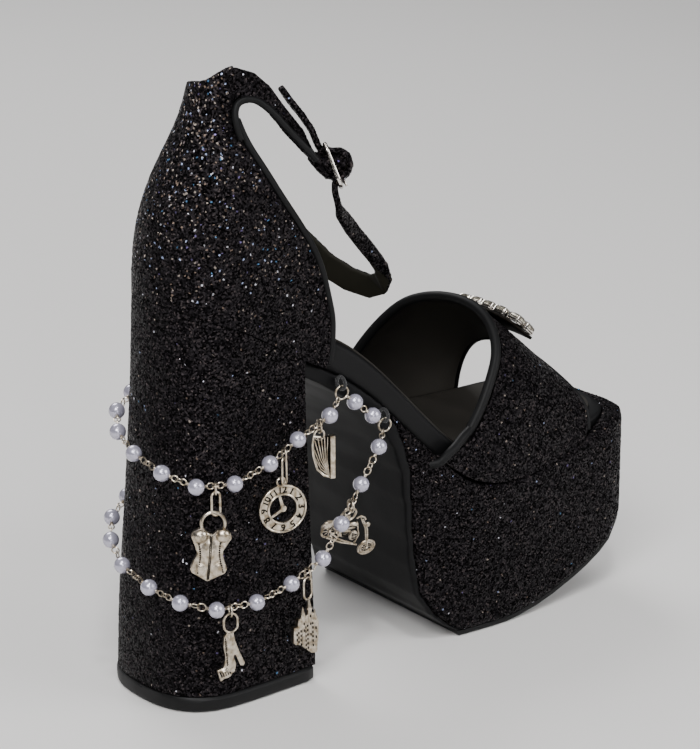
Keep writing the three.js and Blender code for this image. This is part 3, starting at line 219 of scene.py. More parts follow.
def select_only(piece):
    deselect()
    piece.select_set(True)
    bpy.context.view_layer.objects.active = piece


def merged_copy(node, name):
    piece = bpy.data.objects.new(name, frame["nodes"][node].data.copy())
    bpy.context.collection.objects.link(piece)
    piece.data.materials.clear()
    select_only(piece)
    bpy.ops.object.mode_set(mode="EDIT")
    bpy.ops.mesh.select_all(action="SELECT")
    bpy.ops.mesh.remove_doubles(threshold=0.01 * MM)
    bpy.ops.mesh.tris_convert_to_quads(face_threshold=math.radians(50), shape_threshold=math.radians(70))
    bpy.ops.object.mode_set(mode="OBJECT")
    return piece


def apply_modifier(piece, kind, **settings):
    select_only(piece)
    modifier = piece.modifiers.new(kind.lower(), kind)
    for key, value in settings.items():
        setattr(modifier, key, value)
    bpy.ops.object.modifier_apply(modifier=modifier.name)


def crease_corners(piece, degrees, amount=1.0, above=None, amount_above=1.0):
    mesh = bmesh.new()
    mesh.from_mesh(piece.data)
    crease = mesh.edges.layers.float.get("crease_edge") or mesh.edges.layers.float.new("crease_edge")
    for edge in mesh.edges:
        if len(edge.link_faces) == 2 and edge.calc_face_angle(0) > math.radians(degrees):
            high = above is not None and edge.verts[0].co.z > above
            edge[crease] = amount_above if high else amount
    mesh.to_mesh(piece.data)
    mesh.free()


def strew_flakes(piece, depth_mm, group=""):
    texture = bpy.data.textures.new("flake relief", "CLOUDS")
    texture.noise_scale = RELIEF_WIDTH * MM
    texture.noise_depth = 1
    apply_modifier(piece, "DISPLACE", texture=texture, strength=depth_mm * MM, mid_level=0.5,
                   texture_coords="LOCAL", vertex_group=group)


def wear(piece, material, nodes, body="shoe"):
    if material is not None:
        piece.data.materials.append(material)
    select_only(piece)
    bpy.ops.object.shade_smooth_by_angle(angle=math.radians(SMOOTH_BELOW))
    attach(piece, body)
    if nodes:
        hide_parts(*nodes)


heel = merged_copy("heel_block", "heel_wrap")
crease_corners(heel, SHARP_EDGE)
apply_modifier(heel, "SUBSURF", levels=4, render_levels=4)
strew_flakes(heel, CLOTH_RELIEF)
wear(heel, black_glitter, ["heel_block"])

# Sole rubber: hard, black and moulded, dulled by fine scuffs about 4 mm apart, with a worn edge.
SCUFF = 3.85
WORN_EDGE = 0.25
black_rubber, tree, shader, place = start_material("hard black sole rubber", "#0a0a0b", 0.5,
                                                   Specular_IOR_Level=0.25)
scuffs = add_node(tree, "ShaderNodeTexNoise", {"Scale": 1 / (SCUFF * MM), "Detail": 6}, {"Vector": place})
dust = add_node(tree, "ShaderNodeMapRange", {"To Min": 0.36, "To Max": 0.66},
                {"Value": scuffs.outputs["Fac"]})
tree.links.new(dust.outputs[0], shader.inputs["Roughness"])
pits = add_node(tree, "ShaderNodeBump", {"Strength": 0.2, "Distance": 0.05 * MM},
                {"Height": scuffs.outputs["Fac"]})
tree.links.new(pits.outputs[0], shader.inputs["Normal"])

for node in ("heel_top_piece", "outsole"):
    slab = merged_copy(node, node + "_rubber")
    if node == "heel_top_piece":
        crease_corners(slab, SHARP_EDGE, 0.9)
        apply_modifier(slab, "SUBSURF", levels=2, render_levels=2)
    apply_modifier(slab, "BEVEL", width=WORN_EDGE * MM, segments=2, limit_method="ANGLE",
                   angle_limit=math.radians(40))
    wear(slab, black_rubber, [node])


# Platform: a thick foam and cork core, wrapped in the same glitter cloth right up over the rim.
# Its upper edge at the toe is rounder than the rest, where the cloth is drawn over the foam.
RIM_FROM_X = 152
RIM_FROM_Z = 63
THICK_RELIEF = 0.5
platform = merged_copy("platform", "platform_wrap")
apply_modifier(platform, "REMESH", mode="VOXEL", voxel_size=0.85 * MM)
apply_modifier(platform, "SMOOTH", factor=0.5, iterations=9)
rim = platform.vertex_groups.new(name="rim")
for vertex in platform.data.vertices:
    if vertex.co.z > RIM_FROM_Z * MM and vertex.co.x > RIM_FROM_X * MM:
        rim.add([vertex.index], 1.0, "REPLACE")
apply_modifier(platform, "SMOOTH", factor=0.5, iterations=32, vertex_group="rim")
apply_modifier(platform, "DISPLACE", strength=CLOTH * MM, mid_level=0)
strew_flakes(platform, THICK_RELIEF)
wear(platform, black_glitter, ["platform"])


# Smooth leather: thin coated calf with a fine pebble grain of about 0.6 mm and a soft satin gloss, a
# little worn in clouds. The linings are plainer, drier leathers in dark brown and olive.
CLOUD = 16.7


def grained_leather(name, colour, edge_colour, roughness, grain_mm, depth):
    material, tree, shader, place = start_material(name, colour, roughness, Specular_IOR_Level=0.17)
    grain = add_node(tree, "ShaderNodeTexVoronoi", {"Scale": 1 / (grain_mm * MM)}, {"Vector": place},
                     feature="SMOOTH_F1")
    cloud = add_node(tree, "ShaderNodeTexNoise", {"Scale": 1 / (CLOUD * MM), "Detail": 4},
                     {"Vector": place})
    mixed = add_node(tree, "ShaderNodeMix", {"A": linear(colour), "B": linear(edge_colour)},
                     {"Factor": cloud.outputs["Fac"]}, data_type="RGBA")
    tree.links.new(mixed.outputs["Result"], shader.inputs["Base Color"])
    worn = add_node(tree, "ShaderNodeMapRange", {"To Min": roughness - 0.08, "To Max": roughness + 0.12},
                    {"Value": cloud.outputs["Fac"]})
    tree.links.new(worn.outputs[0], shader.inputs["Roughness"])
    relief = add_node(tree, "ShaderNodeBump", {"Strength": 0.35, "Distance": depth * MM},
                      {"Height": grain.outputs["Distance"]})
    tree.links.new(relief.outputs[0], shader.inputs["Normal"])
    return material


# Arch cover: one piece of smooth leather that runs under the arch and down the back of the platform.
# It is glued on before the platform's cloth, which laps over its edges.
# Its leather is a darker copy of the black calf leather: painted shade under the arch.
arch_leather = grained_leather("black calf leather under the arch", "#050506", "#08080a", 0.55, 0.6, 0.05)
cover = merged_copy("arch_cover", "arch_leather")
apply_modifier(cover, "REMESH", mode="VOXEL", voxel_size=0.75 * MM)
apply_modifier(cover, "SMOOTH", factor=0.5, iterations=6)
wear(cover, arch_leather, ["arch_cover"])


# Insole board: a stiff board wrapped in smooth leather, with the sock lining glued on it. The leather
# adds its own thickness to the board's edge.
LEATHER = 0.3
black_leather = grained_leather("black calf leather", "#09090a", "#0d0d0e", 0.5, 0.6, 0.05)
sock_leather = grained_leather("dark lining leather", "#23211e", "#2f2c28", 0.66, 0.7, 0.06)
board = merged_copy("insole_board", "board_wrap")
crease_corners(board, 50, 0.9)
apply_modifier(board, "SUBSURF", levels=3, render_levels=3)
apply_modifier(board, "DISPLACE", strength=LEATHER * MM, mid_level=0)
wear(board, black_leather, ["insole_board"])
sock = merged_copy("sock_lining", "sock_leather")
crease_corners(sock, 50, 0.6)
apply_modifier(sock, "SUBSURF", levels=3, render_levels=3)
wear(sock, sock_leather, ["sock_lining"])


# Heel counter and vamp: stiffened shells, glitter cloth outside and smooth lining inside,
# with rolled leather bindings on their edges. The collar's corners are softer than the lower ones.
COLLAR_START = 160
COUNTER_MIDDLE_X = 16
VAMP_AHEAD = 10
VAMP_MIDDLE_Y, VAMP_MIDDLE_Z = 6, 60


def lined_shell(node, name, inside, material):
    shell = merged_copy(node, name)
    crease_corners(shell, 60, 1.0, COLLAR_START * MM, 0.5)
    apply_modifier(shell, "SUBSURF", levels=3, render_levels=3)
    shell.data.materials.append(material)
    shell.data.materials.append(sock_leather)
    outside = shell.vertex_groups.new(name="outside")
    for vertex in shell.data.vertices:
        out = vertex.normal.dot(vertex.co - inside(vertex.co))
        outside.add([vertex.index], 1.0 if out > 0 else 0.0, "REPLACE")
    for face in shell.data.polygons:
        out = face.normal.dot(face.center - inside(face.center))
        face.material_index = 0 if out > 0 else 1
    strew_flakes(shell, CLOTH_RELIEF, "outside")
    wear(shell, None, [node])


lined_shell("heel_counter", "counter_shell",
            lambda p: Vector((COUNTER_MIDDLE_X * MM, 0, p.z)), counter_glitter)
lined_shell("vamp", "vamp_shell",
            lambda p: Vector((p.x + VAMP_AHEAD * MM, VAMP_MIDDLE_Y * MM, VAMP_MIDDLE_Z * MM)),
            black_glitter)

# The rear piping's lower end, on the outer side, is cut here and carried on below by a bent tail.
PIPING_CUT_X, PIPING_CUT_Y = 98, -20
for node in ("counter_binding_right", "counter_binding_left", "vamp_rear_piping", "vamp_front_binding"):
    binding = merged_copy(node, node + "_leather")
    if node == "vamp_rear_piping":
        mesh = bmesh.new()
        mesh.from_mesh(binding.data)
        end = [v for v in mesh.verts if v.co.y < PIPING_CUT_Y * MM and v.co.x < PIPING_CUT_X * MM]
        bmesh.ops.delete(mesh, geom=end, context="VERTS")
        mesh.to_mesh(binding.data)
        mesh.free()
    crease_corners(binding, 70, 0.5)
    apply_modifier(binding, "SUBSURF", levels=2, render_levels=2)
    apply_modifier(binding, "DISPLACE", strength=LEATHER * MM, mid_level=0)
    wear(binding, black_leather, [node])


# Ankle strap: glitter cloth on a thin olive brown lining, in two parts that the buckle joins.
# The cut edges are left raw, and a rolled leather cord runs along the lower edge of the short part.
# At its root each part laps over the counter.
STRAP_INSIDE = Vector((42, 0, 0)) * MM
STRAP_EDGE_SHARE = 0.3
LINING_RELIEF_SHARE = 0.1
ROOT_END_X = 10.5
ROOT_OVERLAP = 4.0
ROOT_LIFT = 0.35
ROOT_SINK = 0.3
olive_lining = grained_leather("olive brown strap lining", "#191812", "#24221a", 0.6, 0.6, 0.06)


def lap_root(band, side):
    back = Vector((-0.85, -0.52 * side, 0))
    out = Vector((-0.45, 0.89 * side, 0))
    mesh = bmesh.new()
    mesh.from_mesh(band.data)
    root = [v for v in mesh.verts if v.co.x < ROOT_END_X * MM]
    bmesh.ops.translate(mesh, verts=root, vec=out * ROOT_LIFT * MM)
    caps = [f for f in mesh.faces if all(v in root for v in f.verts)]
    grown = bmesh.ops.extrude_face_region(mesh, geom=caps)
    ends = [v for v in grown["geom"] if isinstance(v, bmesh.types.BMVert)]
    bmesh.ops.translate(mesh, verts=ends, vec=(back * ROOT_OVERLAP - out * ROOT_SINK) * MM)
    bmesh.ops.delete(mesh, geom=caps, context="FACES")
    bmesh.ops.recalc_face_normals(mesh, faces=mesh.faces)
    mesh.to_mesh(band.data)
    mesh.free()


for node, side in (("strap_long", 1), ("strap_short", -1)):
    band = merged_copy(node, node + "_band")
    lap_root(band, side)
    apply_modifier(band, "REMESH", mode="VOXEL", voxel_size=0.5 * MM)
    apply_modifier(band, "SMOOTH", factor=0.5, iterations=8)
    band.data.materials.append(black_glitter)
    band.data.materials.append(olive_lining)
    cloth = band.vertex_groups.new(name="cloth")
    for vertex in band.data.vertices:
        away = (vertex.co - STRAP_INSIDE).xy.normalized()
        depth = 1.0 if vertex.normal.xy.dot(away) > 0 else LINING_RELIEF_SHARE
        cloth.add([vertex.index], depth, "REPLACE")
    for face in band.data.polygons:
        away = (face.center - STRAP_INSIDE).xy.normalized()
        face.material_index = 0 if face.normal.xy.dot(away) > -STRAP_EDGE_SHARE else 1
    strew_flakes(band, THICK_RELIEF, "cloth")
    wear(band, None, [node])


def rod_mesh(name, lines, radius_mm, detail=2, caps=True):
    curve = bpy.data.curves.new(name, "CURVE")
    curve.dimensions = "3D"
    curve.bevel_depth = radius_mm * MM
    curve.bevel_resolution = detail
    curve.use_fill_caps = caps
    for points, closed in lines:
        spline = curve.splines.new("POLY")
        spline.points.add(len(points) - 1)
        for spot, place_at in zip(spline.points, points):
            spot.co = (*(place_at * MM), 1)
        spline.use_cyclic_u = closed
    piece = bpy.data.objects.new(name, curve)
    bpy.context.collection.objects.link(piece)
    select_only(piece)
    bpy.ops.object.convert(target="MESH")
    return bpy.context.object


def smooth_line(points, steps):
    line = []
    for i in range(len(points) - 1):
        before, a, b, after = (points[min(max(k, 0), len(points) - 1)] for k in range(i - 1, i + 3))
        for step in range(steps):
            t = step / steps
            line.append(0.5 * (2 * a + (b - before) * t + (2 * before - 5 * a + 4 * b - after) * t ** 2
                               + (3 * a - before - 3 * b + after) * t ** 3))
    return line + [points[-1]]


def cast_plate(outline, thickness, y=0.0, bevel=0.3):
    mesh = bmesh.new()
    loop = [mesh.verts.new((x, y - thickness / 2, z)) for x, z in outline]
    face = mesh.faces.new(loop)
    grown = bmesh.ops.extrude_face_region(mesh, geom=[face])
    moved = [v for v in grown["geom"] if isinstance(v, bmesh.types.BMVert)]
    bmesh.ops.translate(mesh, verts=moved, vec=(0, thickness, 0))
    bmesh.ops.recalc_face_normals(mesh, faces=mesh.faces)
    if bevel:
        rims = [e for e in mesh.edges if abs(e.verts[0].co.y - e.verts[1].co.y) < 1e-6]
        bmesh.ops.bevel(mesh, geom=rims, offset=bevel, segments=2, affect="EDGES", profile=0.6)
    return mesh


def gathered(name, meshes):
    whole = bmesh.new()
    for mesh in meshes:
        data = bpy.data.meshes.new(name)
        mesh.to_mesh(data)
        mesh.free()
        whole.from_mesh(data)
        bpy.data.meshes.remove(data)
    data = bpy.data.meshes.new(name)
    whole.to_mesh(data)
    whole.free()
    piece = bpy.data.objects.new(name, data)
    bpy.context.collection.objects.link(piece)
    return piece


def softened(piece, voxel, rounds):
    apply_modifier(piece, "REMESH", mode="VOXEL", voxel_size=voxel)
    apply_modifier(piece, "SMOOTH", factor=0.5, iterations=rounds)
    return piece


# The rolled cord rises round the top of the counter's side opening and follows the short part's lower
# edge down to the buckle. The tail is the lower end of the vamp's rear piping. x, y and z are in mm.
CORD_RADIUS = 1.25
TAIL_RADIUS = 1.75
STRAP_CORD = [
    (6.6, -17.3, 203), (5.6, -16.2, 207.6), (5.8, -15, 212), (7.6, -14.6, 215), (11, -15.6, 216),
    (14.6, -17, 214.8), (18.4, -19.6, 211), (22.6, -23.2, 204.8), (26.6, -26.8, 199), (30.2, -28.8, 194.2),
]
PIPING_TAIL = [
    (105.4, -29.3, 83.1), (102.8, -29.8, 80.2), (97.4, -31.2, 78.2), (92.9, -32.3, 75.9),
    (89.8, -32.8, 74.7), (86.9, -33, 73.2), (84.5, -32.6, 71.8), (81.6, -30.6, 71.2),
]
for name, spots, radius in (("strap_cord", STRAP_CORD, CORD_RADIUS),
                            ("vamp_piping_tail", PIPING_TAIL, TAIL_RADIUS)):
    line = smooth_line([Vector(spot) for spot in spots], 8)
    wear(rod_mesh(name, [(line, False)], radius, 3), black_leather, [])

# The strap's end is turned back round the buckle and folded flat, so that it fills the bend. It is drawn
# from the middle of the buckle, as seen from behind the outer side: to the right and up, in mm.
FOLD_RIGHT = [(-1.5, 6.4), (1.9, 5.4), (3.8, 4.8), (5.0, 2.8), (5.7, 0.6), (5.0, -2.4), (4.2, -4.6),
              (3.5, -6.2), (1.4, -7.0), (-0.7, -4.5), (-1.9, 1.9)]
FOLD_LEFT = [(-8.9, 2.4), (-7.9, 4.6), (-5.2, 4.6), (-3.2, 7.2), (-1.2, 6.4), (-1.2, 1.9), (-0.4, -4.4),
             (-2.4, -4.6), (-6.2, -1.0)]
fold = gathered("strap_fold", [cast_plate(FOLD_RIGHT, 7.5, 0.6, 0.8), cast_plate(FOLD_LEFT, 6, 0.4, 0.8)])
low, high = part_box("buckle_frame")
FOLD_RIGHTWARDS = Vector((0.766, -0.643, 0))
FOLD_INWARDS = Vector((0.61, 0.727, -0.317))
FOLD_UPWARDS = Vector((0.204, 0.243, 0.948))
facing_out = Matrix((FOLD_RIGHTWARDS, FOLD_INWARDS, FOLD_UPWARDS)).transposed().to_4x4()
fold.data.transform(Matrix.Translation((low + high) / 2) @ facing_out @ Matrix.Scale(MM, 4))
softened(fold, 0.45 * MM, 8)
strew_flakes(fold, THICK_RELIEF)
wear(fold, black_glitter, [])


# Buckle: a polished wire frame with a centre bar and a prong, cast in zinc and silver plated, so it is
# bright and nearly white. The small metal parts of the chains are plated too, but left to tarnish: they
# are warmer and duller, spotted, and almost black in their hollows.
HOLLOW_WIDTH = 1.4


def plated_metal(name, colour, tarnish, hollow, roughness, spot_mm):
    material, tree, shader, place = start_material(name, colour, roughness, 1)
    spots = add_node(tree, "ShaderNodeTexNoise", {"Scale": 1 / (spot_mm * MM), "Detail": 5},
                     {"Vector": place})
    sharper = add_node(tree, "ShaderNodeMapRange", {"From Min": 0.38, "From Max": 0.66},
                       {"Value": spots.outputs["Fac"]})
    mixed = add_node(tree, "ShaderNodeMix", {"A": linear(colour), "B": linear(tarnish)},
                     {"Factor": sharper.outputs[0]}, data_type="RGBA")
    open_air = add_node(tree, "ShaderNodeAmbientOcclusion", {"Distance": HOLLOW_WIDTH * MM}, samples=6)
    clean = add_node(tree, "ShaderNodeMapRange", {"From Min": 0.25, "From Max": 0.85},
                     {"Value": open_air.outputs["AO"]})
    aged = add_node(tree, "ShaderNodeMix", {"A": linear(hollow)}, {
        "Factor": clean.outputs[0], "B": mixed.outputs["Result"]}, data_type="RGBA")
    tree.links.new(aged.outputs["Result"], shader.inputs["Base Color"])
    dull = add_node(tree, "ShaderNodeMapRange", {"To Min": roughness - 0.08, "To Max": roughness + 0.14},
                    {"Value": spots.outputs["Fac"]})
    tree.links.new(dull.outputs[0], shader.inputs["Roughness"])
    return material


bright_silver = plated_metal("polished silver plate", "#e6e1da", "#c8c0b6", "#6b645b", 0.16, 3.33)
aged_silver = plated_metal("tarnished silver plate", "#ded3c2", "#9d8e77", "#2e2820", 0.27, 1.92)
# The black one is tarnish on the charms' details, and is also put on the brooch's base as painted shadow.
black_tarnish_and_shadow = plated_metal("black tarnish in the hollows", "#2a2622", "#14120f", "#0a0908", 0.5, 2.5)
for node in ("buckle_frame", "buckle_prong"):
    metal = merged_copy(node, node + "_metal")
    apply_modifier(metal, "REMESH", mode="VOXEL", voxel_size=0.2 * MM)
    apply_modifier(metal, "SMOOTH", factor=0.5, iterations=4)
    wear(metal, bright_silver, [node])


# Holders of the chains: loops of black thread, two plies twisted together, are stitched through the edge
# of the arch, and each holds a wire ring. The fibres are drawn 0.3 mm apart, as finer ones wouldn't show.
THREAD_PLY = 0.34
THREAD_TWISTS = 12
THREAD_STEPS = 96
LOOP_RADIUS = 2.3
FIBRE = 0.333
black_thread, tree, shader, place = start_material("black sewing thread", "#141416", 0.85, Sheen_Weight=0.3)
fibres = add_node(tree, "ShaderNodeTexNoise", {"Scale": 1 / (FIBRE * MM), "Detail": 3}, {"Vector": place})
fuzz = add_node(tree, "ShaderNodeBump", {"Strength": 0.5, "Distance": 0.05 * MM},
                {"Height": fibres.outputs["Fac"]})
tree.links.new(fuzz.outputs[0], shader.inputs["Normal"])
for node in [name for name in frame["nodes"] if name.startswith("chain_loop")]:
    low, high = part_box(node)
    middle = (low + high) / 2 / MM
    plies = []
    for ply in (0, math.pi):
        around = []
        for step in range(THREAD_STEPS):
            turn = step / THREAD_STEPS * math.tau
            twist = turn * THREAD_TWISTS + ply
            reach = LOOP_RADIUS + THREAD_PLY * math.cos(twist)
            around.append(middle + Vector((THREAD_PLY * math.sin(twist), reach * math.cos(turn),
                                           reach * math.sin(turn))))
        plies.append((around, True))
    thread = rod_mesh(node + "_thread", plies, THREAD_PLY, 1, False)
    wear(thread, black_thread, [node])

for node in [name for name in frame["nodes"] if name.startswith("chain_ring") or name.endswith("_ring")]:
    link = merged_copy(node, node + "_wire")
    apply_modifier(link, "SUBSURF", levels=2, render_levels=2)
    owner = node[len("charm_"):-len("_ring")] if node.startswith("charm_") else "shoe"
    wear(link, aged_silver, [node], owner)


# Pearl chains: glass pearls of 6 mm with a cloudy lilac pearl lacquer, each on its own piece of wire. The
# wire is wound at both ends of the pearl and bent to an eye, and the eyes hang in each other or in a
# small link between.
PEARL_RADIUS = 3.0
WIRE = 0.24
COIL_LENGTH = 0.9
COIL_TURNS = 2.5
COIL_STEPS = 30
EYE_STEPS = 16
EYE_LENGTH = 2.2
EYE_OVERLAP = 2 * WIRE + 0.25
LUSTRE_CLOUD = 2.86
pearl_coat, tree, shader, place = start_material("pearl lacquer on glass", "#bcb9c8", 0.24, 0.45,
                                                 Coat_Weight=1.0, Coat_Roughness=0.05)
clouds = add_node(tree, "ShaderNodeTexNoise", {"Scale": 1 / (LUSTRE_CLOUD * MM), "Detail": 2},
                  {"Vector": place})
lustre = add_node(tree, "ShaderNodeMix", {"A": linear("#c2c0cf"), "B": linear("#a9a6b8")},
                  {"Factor": clouds.outputs["Fac"]}, data_type="RGBA")
uneven = add_node(tree, "ShaderNodeMapRange", {"To Min": 0.16, "To Max": 0.3},
                  {"Value": clouds.outputs["Fac"]})
tree.links.new(lustre.outputs["Result"], shader.inputs["Base Color"])
tree.links.new(uneven.outputs[0], shader.inputs["Roughness"])


def pearl_centres(node, first):
    mesh = bmesh.new()
    mesh.from_mesh(frame["nodes"][node].data)
    bmesh.ops.remove_doubles(mesh, verts=mesh.verts, dist=0.02 * MM)
    shortest = PEARL_RADIUS / 2 * MM
    wide = {v for v in mesh.verts if min(e.calc_length() for e in v.link_edges) > shortest}
    left = []
    while wide:
        patch = [wide.pop()]
        for vertex in patch:
            near = [e.other_vert(vertex) for e in vertex.link_edges]
            fresh = [v for v in near if v in wide]
            wide.difference_update(fresh)
            patch.extend(fresh)
        left.append(sum((v.co for v in patch), Vector()) / len(patch) / MM)
    mesh.free()
    ordered = []
    at = first
    while left:
        at = min(left, key=lambda c: (c - at).length)
        left.remove(at)
        ordered.append(at)
    return ordered


def side_of(along):
    return along.cross(Vector((0, 0, 1))).normalized()


def wound(start, along, lines):
    side = side_of(along)
    rise = side.cross(along)
    coil = []
    reach = WIRE * 1.7
    for step in range(COIL_STEPS + 1):
        turn = step / COIL_STEPS * math.tau * COIL_TURNS
        coil.append(start + along * (COIL_LENGTH * step / COIL_STEPS) + side * reach * math.cos(turn)
                    + rise * reach * math.sin(turn))
    lines.append((coil, False))
    lines.append(([start - along * 0.6, start + along * COIL_LENGTH], False))


def eye(centre, along, radius, upright, lines):
    side = side_of(along)
    across = side.cross(along) if upright else side
    turns = [step / EYE_STEPS * math.tau for step in range(EYE_STEPS)]
    lines.append(([centre + along * radius * math.cos(t) + across * radius * 0.9 * math.sin(t)
                   for t in turns], True))


def linked(start, end, wind_start, wind_end, lines):
    along = (end - start).normalized()
    if wind_start:
        wound(start, along, lines)
        start = start + along * COIL_LENGTH
    if wind_end:
        wound(end, -along, lines)
        end = end - along * COIL_LENGTH
    room = (end - start).length
    count = max(1, round(room / EYE_LENGTH))
    radius = (room + (count - 1) * EYE_OVERLAP) / (2 * count)
    for i in range(count):
        eye(start + along * (radius + i * (2 * radius - EYE_OVERLAP)), along, radius, i % 2 == 0, lines)


# Each chain runs from one ring at the arch to another, as pearls and wire that lie on the heel.
STRANDS = [
    ("upper", "rear_right", "rear_left"),
    ("lower", "front_right", "front_left"),
    ("arch_right", "rear_right", "front_right"),
    ("arch_left", "rear_left", "front_left"),
]
RING_REACH = 2.2
PEARL_DIMPLE = 0.1
for strand, first, last in STRANDS:
    node = "chain_" + strand
    ends = [sum(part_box("chain_ring_" + name), Vector()) / 2 / MM for name in (first, last)]
    centres = pearl_centres(node, ends[0])
    beads = bmesh.new()
    wires = []
    stops = [ends[0]] + centres + [ends[1]]
    for i in range(len(stops) - 1):
        a, b = stops[i], stops[i + 1]
        along = (b - a).normalized()
        free_a, free_b = i == 0, i == len(stops) - 2
        start = a + along * (RING_REACH if free_a else PEARL_RADIUS - PEARL_DIMPLE)
        end = b - along * (RING_REACH if free_b else PEARL_RADIUS - PEARL_DIMPLE)
        linked(start, end, not free_a, not free_b, wires)
    for centre in centres:
        bmesh.ops.create_uvsphere(beads, u_segments=26, v_segments=16, radius=PEARL_RADIUS * MM,
                                  matrix=Matrix.Translation(centre * MM))
    shell = bpy.data.meshes.new(node + "_pearls")
    beads.to_mesh(shell)
    beads.free()
    pearls = bpy.data.objects.new(node + "_pearls", shell)
    bpy.context.collection.objects.link(pearls)
    wear(pearls, pearl_coat, [node])
    wear(rod_mesh(node + "_wire", wires, WIRE, 1), aged_silver, [node])


# Charms: small castings of silver plated zinc, each hung by an eye and a wire link in a ring. They are
# drawn flat in mm, x along the chain, y into the heel and z up, and then turned to where they hang.
EYE_CENTRE = 1.6
EYE_REACH = 1.9
RING_TO_TOP = 4.8
LINK_WIRE = 0.4
LINK_STEPS = 24


def knob(centre, radii, detail=14):
    mesh = bmesh.new()
    bmesh.ops.create_uvsphere(mesh, u_segments=detail, v_segments=detail - 4, radius=1)
    bmesh.ops.scale(mesh, vec=radii, verts=mesh.verts)
    bmesh.ops.translate(mesh, vec=centre, verts=mesh.verts)
    return mesh


def turned(profile, x, y, axis_y=False, detail=12):
    mesh = bmesh.new()
    rings = []
    for radius, height in profile:
        ring = []
        for i in range(detail):
            t = i / detail * math.tau
            u, v = radius * math.cos(t), radius * math.sin(t)
            ring.append(mesh.verts.new((x + u, height, y + v) if axis_y else (x + u, y + v, height)))
        rings.append(ring)
    for low, high in zip(rings, rings[1:]):
        for i in range(detail):
            j = (i + 1) % detail
            mesh.faces.new((low[i], low[j], high[j], high[i]))
    mesh.faces.new(rings[0])
    mesh.faces.new(rings[-1])
    bmesh.ops.recalc_face_normals(mesh, faces=mesh.faces)
    return mesh


def circle_line(x, z, radius, y=0.0, steps=28):
    turns = [i / steps * math.tau for i in range(steps)]
    return ([Vector((x + radius * math.cos(t), y, z + radius * math.sin(t))) for t in turns], True)


def line_to(*spots):
    return ([Vector(s) for s in spots], False)


def metal_lines(name, lines, radius, detail=2):
    piece = rod_mesh(name, lines, radius, detail)
    piece.data.transform(Matrix.Scale(1 / MM, 4))
    return piece


def hang(name, drop, lean, link_half, link_turn, silver, dark=()):
    joint = next(j for j in frame["joints"] if j["name"] == name + "_swing")
    x_axis = Vector(joint["axis"])
    if x_axis.x < 0:
        x_axis = -x_axis
    turn = math.atan2(x_axis.y, x_axis.x)
    place_at = (Matrix.Translation(joint["pos_m"]) @ Matrix.Rotation(turn, 4, "Z")
                @ Matrix.Rotation(math.radians(-lean), 4, "X") @ Matrix.Scale(MM, 4)
                @ Matrix.Translation((0, 0, -RING_TO_TOP - drop)))
    aside = Vector((math.cos(math.radians(link_turn)), math.sin(math.radians(link_turn)), 0))
    top = EYE_CENTRE + EYE_REACH + drop - link_half
    bottom = min(top, EYE_CENTRE - EYE_REACH + link_half)
    link = []
    for step in range(LINK_STEPS):
        t = (step + 0.5) / LINK_STEPS * math.tau
        height = (top if t < math.pi else bottom) + link_half * math.sin(t)
        link.append(aside * link_half * math.cos(t) + Vector((0, 0, height)))
    parts = list(silver) + [metal_lines(name + "_eye", [(link, True)], LINK_WIRE)]
    for part in parts:
        part.data.materials.clear()
        part.data.materials.append(aged_silver)
    for part in dark:
        part.data.materials.clear()
        part.data.materials.append(black_tarnish_and_shadow)
    deselect()
    for part in parts + list(dark):
        part.select_set(True)
    bpy.context.view_layer.objects.active = parts[0]
    bpy.ops.object.join()
    charm = bpy.context.object
    charm.name = "charm_" + name + "_cast"
    charm.data.transform(place_at)
    wear(charm, None, ["charm_" + name], name)


# Corset charm: a hollow backed bodice with two cups, a busk down the middle, laced side seams and a
# bent handle over it.
CORSET = [(-1.9, -7.2), (-4.4, -4.7), (-6.1, -4.5), (-8.3, -5.6), (-8.9, -7.6), (-7.8, -10.6), (-7, -13.4),
          (-8.6, -16.4), (-9.6, -18.9), (-9.1, -20.4), (-3.7, -23.9), (2.6, -21.2), (3.4, -19.7),
          (2.3, -15.8), (2.1, -13.3), (3.5, -11.1), (5.3, -8.7), (4.9, -6.6), (2.5, -4.9), (0.4, -5.3)]
bodice = softened(gathered("corset_body", [
    cast_plate(CORSET, 2.4, 0.2, 0.5),
    knob((-5.7, -0.7, -7.4), (2.7, 1.9, 2.5)),
    knob((2.2, -0.7, -7.5), (2.6, 1.9, 2.5)),
    knob((-2.8, -0.3, -14), (3.6, 1.4, 6.5)),
    knob((-5.9, -0.2, -19), (2.6, 1.3, 2.8)),
    knob((0.2, -0.2, -19.2), (2.5, 1.3, 2.8)),
]), 0.22, 5)
busk = [line_to((-2.15, -1.2, -7.2), (-2.5, -1.62, -11), (-2.9, -1.68, -16), (-3.7, -1.3, -23.2)),
        line_to((-1.65, -1.2, -7.2), (-1.95, -1.62, -11), (-2.35, -1.68, -16), (-3.2, -1.3, -23))]
laces = []
for step in range(15):
    z = -9.4 - step * 0.78
    waist = 0.7 * math.cos((z + 13.6) / 3.2)
    for x in (-6.6 + waist, 1.5 - waist):
        laces.append(line_to((x - 0.18, -1.12, z), (x + 0.2, -1.12, z - 0.3)))
handle = metal_lines("corset_handle", [circle_line(-1.1, -3.2, 4.1)], 0.6)
hang("corset", 4.6, 6, 1.6, 20, [bodice, handle],
     [metal_lines("corset_busk", busk, 0.17), metal_lines("corset_laces", laces, 0.26, 1)])


